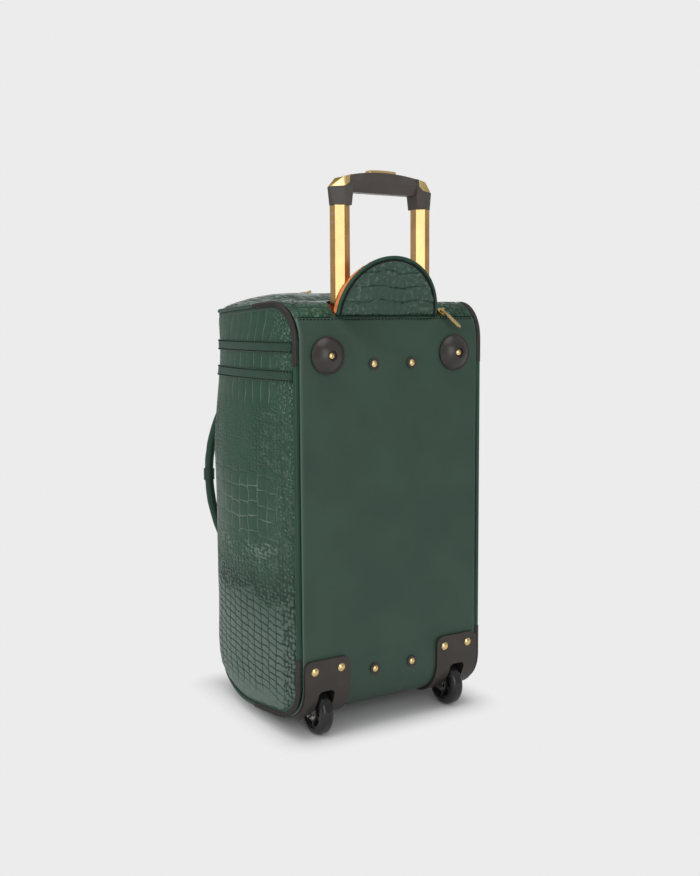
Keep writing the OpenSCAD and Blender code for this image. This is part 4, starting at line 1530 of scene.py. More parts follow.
    def end_z(self, x: np.ndarray, y: np.ndarray) -> np.ndarray:
        """Height of the top end's leather in front of the back corner."""
        flat, dome = self.over(y, 0.0), self.dome_z(x, y)
        soft = 0.003
        mixed = np.log(np.exp((flat - self.top) / soft) + np.exp((dome - self.top) / soft))
        return self.top + mixed * soft - 0.0012

    def seam(self, side: int) -> tuple[np.ndarray, list[int]]:
        """The line of a side's piping, from the zip over the top to under the bottom.

        Args:
            side: -1 for left, 1 for right.

        Returns:
            The points, and where the four stretches of the two corner covers start and end.
        """
        inset = self.seam_side
        front = np.linspace(math.pi / 2, self.join, 14)
        corner_x = self.front_x + (self.front - inset) * np.cos(front)
        corner_y = self.front_y + (self.front - inset) * np.sin(front)
        side_y = np.linspace(corner_y[-1], self.corner, 26)[1:]
        ahead_x = np.concatenate([[0.0085], corner_x, self.half(side_y, inset)])
        ahead_y = np.concatenate([[self.depth - inset], corner_y, side_y])
        r = self.corner - self.seam_in
        bend = np.linspace(0, math.pi / 2, 15)[1:]
        bend_y = self.corner - r * np.sin(bend)
        low_bend = np.linspace(0, math.pi / 2 - self.sag, 15)
        back_x = float(self.half(self.seam_in, inset))
        down = np.linspace(self.high, self.low, 60)[1:]
        x = np.concatenate([ahead_x, self.half(bend_y, inset), np.full(len(down), back_x)])
        y = np.concatenate([ahead_y, bend_y, np.full(len(down), self.seam_in)])
        z = np.concatenate([self.over(ahead_y, self.seam_in), self.high + r * np.cos(bend), down])
        low_y = self.corner - r * np.cos(low_bend[1:])
        x = np.concatenate([x, self.half(low_y, inset), [self.half(self.corner, inset)]])
        y = np.concatenate([y, low_y, [self.corner]])
        z = np.concatenate([z, self.low - r * np.sin(low_bend[1:])])
        z = np.concatenate([z, [self.under(self.corner, self.seam_in)]])
        x = np.concatenate([x, ahead_x[::-1][1:-1], [0.0]])
        y = np.concatenate([y, ahead_y[::-1][1:-1], [self.depth - inset]])
        tail = np.concatenate([ahead_y[::-1][1:-1], [self.depth - inset]])
        z = np.concatenate([z, self.under(tail, self.seam_in)])
        path = self.packed(side * x, y, z)
        half = len(path) // 2
        own = path[:, 1] + self.middle
        height = path[:, 2]
        marks = [
            np.argmin(abs(own[:half] - self.top_cover[0])),
            np.argmin(abs(height - self.top_cover[1])),
            np.argmin(abs(height - self.low_cover[0])),
            half + np.argmin(abs(own[half:] - self.low_cover[1])),
        ]
        return path, [int(mark) for mark in marks]


# ---- Skin of the bag -----------------------------------------------------


@dataclass
class Skin:
    """The leather shell: two walls, the back panel and the two ends."""

    form: BagForm
    wall: float = 0.0028
    step: float = 0.0036
    wheel_x: float = 0.096
    axle_y: float = 0.022
    axle_z: float = 0.028
    cavity: float = 0.0348
    box_half: float = 0.0143
    well_r: float = 0.074
    well_y: float = 0.0124
    zip_start: float = 0.186

    def side_wall(self, side: int) -> bpy.types.Object:
        """Builds one wall, from its back seam round the front corner to the zip.

        Args:
            side: -1 for left, 1 for right.

        Returns:
            The wall.
        """
        f = self.form
        turn = np.linspace(0, math.pi / 2, 16)[:-1]
        y0 = f.edge_in
        near = [f.reach_of(y0 + (f.corner - y0) * (1 - math.cos(t))) for t in turn]
        start = f.reach_of(f.corner)
        rest = np.linspace(start, f.plan_length, int((f.plan_length - start) / self.step))
        s = np.concatenate([near, rest[:-3], rest[-1] - np.array([0.006, 0.003, 0.001, 0.0])])
        _, y, _, _ = f.plan(s)
        low, high = f.side_limits(y, f.edge_in)
        t = np.linspace(0, 1, 140)
        t = t - 0.35 * np.sin(2 * np.pi * t) / (2 * np.pi)
        z = low[:, None] + (high - low)[:, None] * t[None]
        grid_s = np.broadcast_to(s[:, None], z.shape)
        points, _ = f.wall_at(side, grid_s, z)
        skin = together(grid_s, z)
        word = "left" if side < 0 else "right"
        if side < 0:
            points, skin = points[::-1], skin[::-1]
        obj = grid_piece(f"wall_leather_{word}", points, skin, Finishes.WALL.material())
        thicken(obj, self.wall)
        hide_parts(f"wall_{word}")
        return obj

    def panel_sink(self, x: np.ndarray, y: np.ndarray, z: np.ndarray) -> np.ndarray:
        """How deep the back panel's leather lies behind its flat outline.

        Args:
            x: Across.
            y: Depth.
            z: Height.

        Returns:
            The depth in metres.
        """
        f = self.form
        edge = f.half(y, f.strip_in) - abs(x)
        rolled = 0.0016 * bounded(1 - edge / 0.0045) ** 2
        hem = 0.0008 * bounded(1 - (f.hem - z) / 0.002) ** 2
        where = together(x, z, 0.0)
        slack = 0.0004 + 0.0005 * soft_noise(where, 0.12, 1.0) + 0.0002 * soft_noise(where, 0.04, 2.0)
        below = f.hem - z - 0.041 * (1 - (x / 0.072) ** 2)
        under_flap = smooth((0.088 - abs(x)) / 0.02)
        slack -= 0.0016 * np.exp(-(((below - 0.004) / 0.011) ** 2)) * under_flap
        slack += 0.0012 * np.exp(-(((below + 0.020) / 0.012) ** 2)) * under_flap
        held = np.ones_like(x)
        spots = [(0.090, 0.455, 0.026), (0.027, 0.444, 0.010), (0.027, 0.074, 0.010)]
        for spot_x, spot_z, r in spots:
            d = np.hypot(abs(x) - spot_x, z - spot_z)
            held *= bounded((d - r) / 0.012)
        slack *= held * bounded(edge / 0.02) * bounded((z - 0.10) / 0.05)
        return rolled + hem + np.maximum(slack, -0.0012)

    def back_panel(self) -> bpy.types.Object:
        """Builds the smooth back panel, from under the bag up to the hem.

        Returns:
            The panel.
        """
        f = self.form
        top_a = math.asin((f.hem - f.high) / f.corner)
        under = np.linspace(f.panel_reach, f.corner * (1 - math.sin(f.sag)), 8)[:-1]
        low = np.linspace(math.pi / 2 - f.sag, 0, 16)
        flat = np.linspace(f.low, f.high, 118)[1:-1]
        high = np.concatenate([np.linspace(0, top_a, 10)[:-1], [top_a - 0.02, top_a]])
        y = np.concatenate([
            under, f.corner - f.corner * np.cos(low), np.zeros(len(flat)),
            f.corner - f.corner * np.cos(high),
        ])
        z = np.concatenate([
            f.under(under, 0.0), f.low - f.corner * np.sin(low), flat,
            f.high + f.corner * np.sin(high),
        ])
        way = np.concatenate([np.full(len(under), low[0]), low, np.zeros(len(flat)), -high])
        ny, nz = np.cos(way), np.sin(way)
        u = np.linspace(-1, 1, 76)
        u = np.sign(u) * (1 - (1 - abs(u)) ** 1.15)
        x = u[None] * f.half(y, f.strip_in)[:, None]
        gy, gz = np.broadcast_to(y[:, None], x.shape), np.broadcast_to(z[:, None], x.shape)
        sink = self.panel_sink(x, gy, gz)
        points = f.packed(x, gy + sink * ny[:, None], gz + sink * nz[:, None])
        far = arc_lengths(together(y, z))
        skin = together(x, np.broadcast_to(far[:, None], x.shape))

        def stays(p: np.ndarray) -> bool:
            """Whether a face lies outside the two wheel wells."""
            py, pz = p[1] + f.middle, p[2]
            near = abs(abs(p[0]) - self.wheel_x) < self.box_half
            r = self.cavity
            reach = math.hypot(py - self.axle_y, pz - self.axle_z) < r
            reach |= py < self.axle_y and pz < self.axle_z + r
            reach |= py < self.axle_y + r and pz < self.axle_z
            return not (near and reach)

        obj = grid_piece("panel_leather", points, skin, Finishes.PANEL.material(), stays)
        flip_to(obj, Vector((0, -1, 0)))
        thicken(obj, self.wall)
        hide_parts("base_panel")
        return obj

    def bottom_end(self) -> bpy.types.Object:
        """Builds the scaled leather under the front of the bag.

        Returns:
            The end.
        """
        f = self.form
        y = f.panel_reach + (f.depth - f.strip_in - f.panel_reach) * np.sin(
            np.linspace(0, math.pi / 2, 40)
        )
        u = np.linspace(-1, 1, 60)
        x = u[None] * f.half(y, f.strip_in)[:, None]
        gy = np.broadcast_to(y[:, None], x.shape)
        edge = bounded((f.half(gy, f.strip_in) - abs(x)) / 0.0045)
        lift = 0.0016 * (1 - edge) ** 2
        z = f.under(gy, 0.0) + lift
        points = f.packed(x, gy, z)
        skin = together(x, gy)
        obj = grid_piece("bottom_leather", points, skin, Finishes.END.material())
        flip_to(obj, Vector((0, 0, -1)))
        thicken(obj, self.wall)
        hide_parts("bottom_end")
        return obj

    def mouth(self, r: float, count: int = 40) -> np.ndarray:
        """The outline of the well's mouth seen from above, from its right back end round.

        Args:
            r: Its radius.
            count: Points along the arc.

        Returns:
            x and y in the bag's own frame.
        """
        a = np.linspace(0, math.pi, count)
        arc = together(r * np.cos(a), self.well_y + r * np.sin(a))
        return np.concatenate([[[r, 0.0115]], arc, [[-r, 0.0115]]])

    def end_point(self, x: np.ndarray, y: np.ndarray) -> np.ndarray:
        """Points on the top end's leather, over the corner and the dome.

        Args:
            x: Across.
            y: Depth in the bag's own frame.

        Returns:
            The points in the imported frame.
        """
        f = self.form
        x, y = np.broadcast_arrays(np.asarray(x, float), np.asarray(y, float))
        bend = f.high + np.sqrt(np.clip(f.corner**2 - (f.corner - y) ** 2, 0, None))
        z = np.where(y < f.corner, bend, f.end_z(x, np.maximum(y, f.corner)))
        blend = bounded((y - f.corner) / 0.012)
        z = np.where(y >= f.corner, f.top + (z - f.top) * blend, z)
        edge = bounded((f.half(y, f.strip_in) - abs(x)) / 0.006)
        edge = np.minimum(edge, bounded((f.depth - f.strip_in - y) / 0.006))
        where = together(x, y, 0.0)
        slack = 0.0011 * soft_noise(where, 0.05, 6.0) + 0.0005 * soft_noise(where, 0.02, 7.0)
        z = z - 0.0022 * (1 - edge) ** 2 + (slack - 0.0004) * edge * bounded((y - 0.02) / 0.03)
        return f.packed(x, y, z)

    def top_end(self) -> bpy.types.Object:
        """Builds the scaled top end with the mouth of the handle's well cut out.

        Returns:
            The end.
        """
        f = self.form
        a0 = math.asin((f.hem + f.gap - f.high) / f.corner)
        bend = f.corner - f.corner * np.cos(np.linspace(a0, math.pi / 2, 16))
        ahead = f.corner + (f.depth - f.strip_in - f.corner) * np.sin(
            np.linspace(0, math.pi / 2, 58)[1:]
        )
        y = np.concatenate([bend, ahead])
        u = np.linspace(-1, 1, 84)
        x = u[None] * f.half(y, f.strip_in)[:, None]
        points = self.end_point(x, y[:, None])
        skin = together(x, np.broadcast_to(y[:, None], x.shape))
        obj = grid_piece("top_leather", points, skin, Finishes.END.material())
        flip_to(obj, Vector((0, 0, 1)))
        thicken(obj, self.wall)
        outline = self.mouth(self.well_r)
        outline[[0, -1], 1] = -0.02
        h = f.zip_half
        slot = np.array([[-h, self.zip_start], [h, self.zip_start], [h, 0.28], [-h, 0.28]])
        for shape in (outline, slot):
            carve(obj, f.packed(shape[:, 0], shape[:, 1], np.full(len(shape), f.hem - 0.03)), 0.1)
        one_finish(obj, Finishes.END)
        obj.data.set_sharp_from_angle(angle=math.radians(50))
        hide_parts("top_end")
        return obj

    def build(self) -> list[bpy.types.Object]:
        """Builds the shell.

        Returns:
            Its pieces.
        """
        made = [self.side_wall(-1), self.side_wall(1), self.back_panel()]
        made += [self.bottom_end(), self.top_end()]
        slots = ["croc", "croc", "leather", "croc", "croc"]
        for obj, slot in zip(made, slots):
            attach(obj, "bag")
        return made


def carve(obj: bpy.types.Object, outline: np.ndarray, tall: float) -> None:
    """Cuts an upright prism out of a solid.

    Args:
        obj: The solid.
        outline: The prism's lower outline.
        tall: The prism's height.
    """
    count = len(outline)
    faces: list[Sequence[int]] = [tuple(range(count))[::-1], tuple(range(count, 2 * count))]
    faces += [(i, (i + 1) % count, count + (i + 1) % count, count + i) for i in range(count)]
    points = np.concatenate([outline, outline + np.array([0, 0, tall])])
    cutter = face_out(mesh_piece("cutter", points, faces))
    cut = obj.modifiers.new("cut", "BOOLEAN")
    cut.object = cutter
    cut.operation = "DIFFERENCE"
    cut.solver = "EXACT"
    freeze(obj)
    bpy.data.objects.remove(cutter)


def flip_to(obj: bpy.types.Object, way: Vector) -> bpy.types.Object:
    """Turns an open sheet's faces so that most of them look one way.

    Args:
        obj: The sheet.
        way: The direction.

    Returns:
        The same object.
    """
    total = sum((p.normal * p.area for p in obj.data.polygons), Vector())
    if total.dot(way) < 0:
        obj.data.flip_normals()
    return obj


# ---- Seams and belts -----------------------------------------------------


@dataclass
class Seams:
    """Piping, ribbed corner covers, the welt under them, and a black cord that paints the shade in each
    seam's groove.
    """

    form: BagForm
    piping_r: float = 0.0027
    core_r: float = 0.0030
    welt_r: float = 0.0040
    shade_cord_r: float = 0.0014
    welt_sink: float = 0.0056
    shade_cord_sink: tuple[float, float] = (0.0036, 0.0022)
    rib_r: float = 0.0005
    rib_pitch: float = 0.0014

    def build(self) -> list[bpy.types.Object]:
        """Builds both seams.

        Returns:
            Their pieces.
        """
        f = self.form
        heart = np.array([0.0, f.depth / 2 - f.middle, f.top / 2])
        ribs = Run(Small.RIB, self.rib_pitch, 0.001, self.core_r, self.rib_r, Finishes.RIBBED)
        made, cores, rings = [], {"top": [], "bottom": []}, {"top": [], "bottom": []}
        for side, word in ((-1, "left"), (1, "right")):
            path, marks = f.seam(side)
            out = unit(path - heart)
            piping = tube_piece(
                f"piping_leather_{word}", path, self.piping_r, Finishes.TRIM.material(), out, 12
            )
            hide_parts(f"piping_{word}")
            sunk = path - out * self.welt_sink
            welt = tube_piece(f"seam_welt_{word}", sunk, self.welt_r, Finishes.TRIM.material(), out, 8)
            # Painted shade: a black cord laid in the groove beside the piping, where shade falls.
            inward = np.array([-side * self.shade_cord_sink[0], 0.0, 0.0])
            sunk = path + inward - out * self.shade_cord_sink[1]
            tape = tube_piece(f"seam_tape_{word}", sunk, self.shade_cord_r, Finishes.TAPE.material(), out, 8)
            made += [piping, welt, tape]
            for which, at in (("top", 0), ("bottom", 2)):
                part = slice(marks[at], marks[at + 1] + 1)
                name = f"{which}_core_{word}"
                cores[which].append(
                    tube_piece(name, path[part], self.core_r, Finishes.RIBBED.material(), out[part], 12)
                )
                rings[which].append((path[part], out[part]))
        for which in ("top", "bottom"):
            core = union_piece(f"{which}_cover_core", cores[which])
            cover = union_piece(
                f"{which}_covers_ribbed", [ribs.along(f"{which}_cover_ribs", rings[which]), core]
            )
            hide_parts(f"{which}_corner_covers")
            made.append(cover)
        for obj in made:
            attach(obj, "bag")
        return made


@dataclass
class Belts:
    """Two leather belts sewn round the walls."""

    form: BagForm
    heights: tuple[float, float] = (0.465, 0.432)
    width: float = 0.014
    thick: float = 0.0016
    margin: float = 0.0017

    def strap(self, side: int, z0: float) -> bpy.types.Object:
        """Builds one belt on one wall.

        Args:
            side: -1 for left, 1 for right.
            z0: Height of its middle.

        Returns:
            The belt.
        """
        f = self.form
        s = np.linspace(f.reach_of(f.edge_in) + 0.0003, f.plan_length, 110)
        across = np.array([-1, -0.97, -0.88, -0.7, -0.35, 0, 0.35, 0.7, 0.88, 0.97, 1])
        crown = self.thick * np.array([0.35, 0.72, 0.95, 1, 1.1, 1.12, 1.1, 1, 0.95, 0.72, 0.35])
        z = z0 + across * self.width / 2
        gs, gz = np.meshgrid(s, z, indexing="ij")
        points, normal = f.wall_at(side, gs, gz)
        points = points + normal * crown[None, :, None]
        skin = together(gs, gz)
        if side < 0:
            points, skin = points[::-1], skin[::-1]
        obj = grid_piece("belt", points, skin, Finishes.TRIM.material())
        return thicken(obj, self.thick)

    def build(self) -> list[bpy.types.Object]:
        """Builds the belts and their stitches.

        Returns:
            The pieces.
        """
        f = self.form
        made = []
        thread = Run(Small.STITCH, 0.0060, 0.0040, 0.0018, 0.0012, Finishes.THREAD)
        for node, z0 in zip(("upper_belts", "lower_belts"), self.heights):
            pair = [self.strap(-1, z0), self.strap(1, z0)]
            obj = union_piece(node + "_leather", pair)
            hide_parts(node)
            seams = []
            for side in (-1, 1):
                for edge in (-1, 1):
                    s = np.linspace(f.reach_of(f.edge_in) + 0.002, f.plan_length - 0.002, 120)
                    z = np.full_like(s, z0 + edge * (self.width / 2 - self.margin))
                    point, normal = f.wall_at(side, s, z, self.thick * 1.2)
                    seams.append((point, normal))
            stitches = thread.along(node + "_stitches", seams)
            made += [obj, stitches]
        for obj in made:
            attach(obj, "bag")
        return made


@dataclass
class MainZip:
    """The zip between the two walls, from the top end down the front."""

    form: BagForm
    start: float = 0.186
    half_tape: float = 0.016
    pitch: float = 0.0017

    def line(self, sunk: float) -> tuple[np.ndarray, np.ndarray]:
        """The zip's middle line and the directions out of the bag along it.

        Args:
            sunk: How far inside the leather's face.

        Returns:
            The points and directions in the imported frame.
        """
        f = self.form
        y = np.linspace(self.start + 0.001, f.depth - 0.008, 24)
        z = f.dome_z(np.zeros_like(y), y) - sunk
        tilt = np.gradient(z, y)
        top = together(y, z)
        top_out = unit(together(-tilt, np.ones_like(y)))
        front_y = f.depth - sunk
        drop = z[-1] - 0.008
        a = np.linspace(0.12, math.pi / 2, 8)
        bend = together(y[-1] + (front_y - y[-1]) * np.sin(a), drop + 0.008 * np.cos(a))
        bend_out = together(np.sin(a), np.cos(a))
        low = float(f.under(np.array(f.depth), f.edge_in)) + 0.001
        down = np.linspace(drop, low, 90)[1:]
        flat = together(np.full_like(down, front_y), down)
        flat_out = np.broadcast_to([1.0, 0.0], flat.shape)
        yz = np.concatenate([top, bend, flat])
        out = np.concatenate([top_out, bend_out, flat_out])
        path = f.packed(np.zeros(len(yz)), yz[:, 0], yz[:, 1])
        return path, together(np.zeros(len(out)), out[:, 0], out[:, 1])

    def build(self) -> list[bpy.types.Object]:
        """Builds the tape and both rows of teeth.

        Returns:
            The pieces.
        """
        path, out = self.line(0.0031)
        across = np.linspace(-1, 1, 9) * self.half_tape
        points = path[:, None] + across[None, :, None] * np.array([1.0, 0, 0])
        far = arc_lengths(path)
        skin = together(across[None], far[:, None])
        tape = grid_piece("zip_tape_cloth", points, skin, Finishes.TAPE.material())
        flip_to(tape, Vector((0, 1, 0)))
        thicken(tape, 0.0008)
        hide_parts("main_zip_tape")
        path, out = self.line(0.0018)
        teeth = Run(Small.TOOTH, self.pitch, 0.00085, 0.0032, 0.0016, Finishes.GOLD)
        rows = []
        for side in (-1, 1):
            shift = 0.5 * self.pitch if side > 0 else 0.0
            far = arc_lengths(path)
            t = np.linspace(shift, far[-1] - 0.001, 160)
            row = np.stack([np.interp(t, far, path[:, i]) for i in range(3)], -1)
            row[:, 0] = side * 0.0011
            ups = np.stack([np.interp(t, far, out[:, i]) for i in range(3)], -1)
            rows.append((row, ups))
        chain = teeth.along("zip_teeth_chain", rows)
        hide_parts("main_zip_teeth")
        made = [tape, chain]
        for obj in made:
            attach(obj, "bag")
        return made


# ---- Well and flap -------------------------------------------------------


@dataclass
class Well:
    """The cloth-lined well round the tubes, with the zip round its mouth."""

    form: BagForm
    skin: Skin
    floor: float = 0.476
    tube_x: float = 0.057
    tube_y: float = 0.026
    hole: float = 0.0125
    cloth_r: float = 0.0743
    back_gap: float = 0.0009

    def lining(self) -> bpy.types.Object:
        """Builds the pleated cloth tub.

        Returns:
            The lining.
        """
        f = self.form
        arc = self.skin.mouth(self.cloth_r, 110)[1:-1]
        back = np.linspace(arc[-1], arc[0], 60)[1:-1]
        back[:, 1] = self.skin.well_y + self.back_gap
        loop = np.concatenate([arc, back])
        count, rows = len(loop), 14
        is_arc = np.arange(count) < len(arc)
        rim = self.skin.end_point(loop[:, 0], loop[:, 1])[:, 2] - 0.0028
        rim = np.where(is_arc, rim, f.hem - 0.0012)
        t = np.linspace(0, 1, rows)
        z = self.floor + (rim[:, None] - self.floor) * t[None]
        far = arc_lengths(np.column_stack([loop, np.zeros(count)]))
        inward = unit(np.array([0.0, 0.036]) - loop)
        fold = 0.5 + 0.5 * np.sin(far[:, None] * 2 * np.pi / 0.021 + 2.5 * np.sin(far[:, None] * 55))
        depth = 0.0022 * fold * np.sin(np.pi * bounded(t * 0.9 + 0.05))[None]
        depth = depth * (is_arc * smooth((0.064 - abs(loop[:, 0])) / 0.02))[:, None]
        x = loop[:, 0][:, None] + inward[:, 0][:, None] * depth
        y = loop[:, 1][:, None] + inward[:, 1][:, None] * depth
        points = f.packed(x, y, z).reshape(-1, 3)
        skin = together(far[:, None], z).reshape(-1, 2)
        faces = [
            (i * rows + k, ((i + 1) % count) * rows + k,
             ((i + 1) % count) * rows + k + 1, i * rows + k + 1)
            for i in range(count) for k in range(rows - 1)
        ]
        wall = mesh_piece("well_wall", points, faces, skin, Finishes.ORANGE.material())
        u = np.linspace(-1, 1, 90)
        v = np.linspace(0, 1, 46)
        fy = self.skin.well_y + self.back_gap + (self.cloth_r - self.back_gap) * v
        reach = np.sqrt(np.clip(self.cloth_r**2 - (fy - self.skin.well_y) ** 2, 1e-8, None))
        fx = u[None] * reach[:, None]
        gy = np.broadcast_to(fy[:, None], fx.shape)
        d = np.hypot(abs(fx) - self.tube_x, gy - self.tube_y)
        rumple = 0.0009 * (soft_noise(together(fx, gy, fx * 0), 0.02, 4.0) + 0.6)
        fz = self.floor - 0.0002 + np.clip(rumple, 0, None) * bounded((d - 0.013) / 0.01)
        floor = grid_piece(
            "well_floor",
            f.packed(fx, gy, fz),
            together(fx, gy),
            Finishes.ORANGE.material(),
            lambda p: math.hypot(abs(p[0]) - self.tube_x, p[1] + f.middle - self.tube_y) > self.hole,
        )
        flip_to(floor, Vector((0, 0, 1)))
        inside = wall.data.polygons[len(wall.data.polygons) // 4]
        if inside.normal.dot(inside.center - Vector((0, 0.03 - f.middle, inside.center.z))) > 0:
            wall.data.flip_normals()
        lining = union_piece("well_lining_cloth", [wall, floor])
        thicken(lining, 0.0007)
        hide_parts("handle_well")
        return lining

    def zip_round(self) -> list[bpy.types.Object]:
        """Builds the half of the flap's zip that is sewn round the mouth.

        Returns:
            Its tape and teeth.
        """
        edge = self.skin.mouth(0.0742, 70)
        inner = self.skin.mouth(0.0727, 70)
        outer = self.skin.end_point(edge[:, 0], edge[:, 1]) - np.array([0, 0, 0.0018])
        middle = outer.copy()
        middle[:, :2] = (edge * 0.45 + inner * 0.55)
        middle[:, 1] -= self.form.middle
        low = outer.copy()
        low[:, 0], low[:, 1] = inner[:, 0], inner[:, 1] - self.form.middle
        middle[:, 2] -= 0.0002
        low[:, 2] -= 0.0008
        points = np.stack([outer, middle, low], 1)
        far = arc_lengths(outer)
        skin = together(far[:, None], np.array([[0, 0.0015, 0.003]]))
        tape = grid_piece("mouth_tape", points, skin, Finishes.TAPE.material())
        flip_to(tape, Vector((0, 0, 1)))
        thicken(tape, 0.0006)
        coil = Run(Small.TOOTH, 0.0013, 0.0007, 0.0011, 0.0009, Finishes.TAPE)
        teeth = coil.along("mouth_coil", [(low + np.array([0, 0, 0.0004]), np.array([0, 0, 1.0]))])
        return [tape, teeth]

    def build(self) -> list[bpy.types.Object]:
        """Builds the well.

        Returns:
            Its pieces.
        """
        made = [self.lining(), *self.zip_round()]
        for obj in made:
            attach(obj, "bag")
        return made


@dataclass
class Flap:
    """The half-round zipped flap that stands open behind the tubes."""

    form: BagForm
    radius: float = 0.0695
    thick: float = 0.0024
    gusset: float = 0.0082
    lean: float = math.radians(14)
    hinge_y: float = 0.012
    hinge_z: float = 0.501
    edge_r: float = 0.002

    def stood(self, flat: np.ndarray) -> np.ndarray:
        """Turns flat flap points up to the open flap's place.

        Args:
            flat: Points with the hinge along X and the outer face up.

        Returns:
            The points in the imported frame.
        """
        a = math.pi / 2 + self.lean
        y = flat[..., 1] * math.cos(a) - flat[..., 2] * math.sin(a)
        z = flat[..., 1] * math.sin(a) + flat[..., 2] * math.cos(a)
        return self.form.packed(flat[..., 0], self.hinge_y + y, self.hinge_z + z)

    def outward(self, path: np.ndarray) -> np.ndarray:
        """Directions from the middle of the hinge to points of a path."""
        return unit(path - self.stood(np.zeros((1, 3))))

    def disc(self, name: str, r: float, z: float, bulge: float, finish: Finish) -> bpy.types.Object:
        """Builds a half-round sheet with a slight swell.

        Args:
            name: The piece's name.
            r: Its radius.
            z: Its height over the flat flap's inner face.
            bulge: How far its middle swells.
            finish: Its finish.

        Returns:
            The sheet.
        """
        share = np.linspace(0.0, 1, 34) ** 0.8
        a = np.linspace(0, math.pi, 80)
        rr, aa = np.meshgrid(share * r, a, indexing="ij")
        x, y = rr * np.cos(aa), 0.0008 + rr * np.sin(aa) * (r - 0.0008) / r
        where = together(x, y, 0.0)
        slack = 0.0011 * soft_noise(where, 0.03, 12.0) + 0.0005 * np.sin(y * 2 * np.pi / 0.016)
        edge = bounded((r - rr) / 0.006)
        out = z + (bulge * (1 - (rr / r) ** 2) + slack) * edge * bounded(y / 0.01)
        out = out - 0.0012 * (1 - bounded((r - rr) / 0.003)) ** 2
        points = self.stood(together(x, y, out))
        return grid_piece(name, points, together(x, y), finish.material())

    def build(self) -> list[bpy.types.Object]:
        """Builds the flap.

        Returns:
            Its pieces.
        """
        panel = self.disc("flap_leather", self.radius, self.thick, 0.0012, Finishes.FLAP)
        flip_to(panel, Vector((0, -1, 0)))
        thicken(panel, 0.0018)
        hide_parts("flap_panel")
        a = np.linspace(0, math.pi, 90)
        r = self.radius
        ring = together(r * np.cos(a), np.maximum(r * np.sin(a), 0.0002), 0 * a + self.thick / 2)
        path = self.stood(ring)
        out = self.outward(path)
        edge = tube_piece("flap_binding", path, self.edge_r, Finishes.TRIM.material(), out, 12)
        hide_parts("flap_edge")
        lining = self.disc("flap_lining_cloth", r - 0.0035, -0.0004, 0.0, Finishes.ORANGE)
        flip_to(lining, Vector((0, 1, 0)))
        depth = np.linspace(0.0002, -self.gusset, 7)
        share = np.linspace(0, 1, 7)
        rim_r = r + 0.0004 + 0.0007 * np.sin(share * math.pi) - 0.0045 * share * np.sin(a)[:, None] ** 2
        gx = rim_r * np.cos(a)[:, None]
        gy = np.maximum(rim_r * np.sin(a)[:, None], 0.0016)
        ruck = 1 + 0.010 * np.sin(a * 41)[:, None] * np.sin(np.linspace(0, math.pi, 7))[None]
        rim_points = self.stood(together(gx * ruck, gy * ruck, np.broadcast_to(depth, gx.shape)))
        skin = together(a[:, None] * r, depth[None])
        rim = grid_piece("flap_rim", rim_points, skin, Finishes.ORANGE.material())
        cloth = union_piece("flap_lining_cloth", [lining, rim])
        thicken(cloth, 0.0006, 0.0)
        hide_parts("flap_lining")
        low = together(gx[:, -1], gy[:, -1], 0 * a - self.gusset)
        coil_path = self.stood(low)
        coil = Run(Small.TOOTH, 0.0013, 0.0007, 0.0012, 0.0008, Finishes.TAPE).along(
            "flap_coil", [(coil_path, self.outward(coil_path))]
        )
        b = np.linspace(0.03, math.pi - 0.03, 90)
        sewn = together((r - 0.0032) * np.cos(b), (r - 0.0032) * np.sin(b), 0 * b + self.thick)
        path = self.stood(sewn)
        away = self.outward(path)
        line = tube_piece("flap_seam_line", path, 0.0012, Finishes.THREAD.material(), away, 8)
        made = [panel, edge, cloth, coil, line]
        for obj in made:
            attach(obj, "flap")
        return [*made, self.fold()]

    def fold(self) -> bpy.types.Object:
        """Builds the strip of leather that hinges the flap to the back panel's hem.

        Returns:
            The strip, which stays with the bag.
        """
        f = self.form
        tips = np.linspace(0.0712, 0.0760, 9)
        x = np.concatenate([-tips[::-1], np.linspace(-0.0705, 0.0705, 56), tips])
        high = [[0.0088, -0.0022], [0.0094, 0.0003], [0.0106, 0.0015], [0.0118, 0.0024]]
        high = np.array([*high, [0.0121, 0.0024], [0.0122, 0.0026]])
        low = [[0.0088, -0.0022], [0.0090, -0.0012], [0.0094, -0.0006], [0.0108, -0.0009]]
        low = np.array([*low, [0.0119, 0.0], [0.0121, 0.0027]])
        ends = smooth((abs(x) - 0.0723) / 0.0012)[:, None, None]
        line = low[None] + (high - low)[None] * ends
        y, z = line[..., 0], f.hem + line[..., 1] + 0.0002 * np.sin(x * 260)[:, None]
        points = f.packed(x[:, None], y, z)
        skin = together(x[:, None], z)
        strip = grid_piece("flap_fold", points, skin, Finishes.FOLD.material())
        flip_to(strip, Vector((0, -1, 0)))
        thicken(strip, 0.0006)
        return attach(strip, "bag")


# ---- Fittings ------------------------------------------------------------


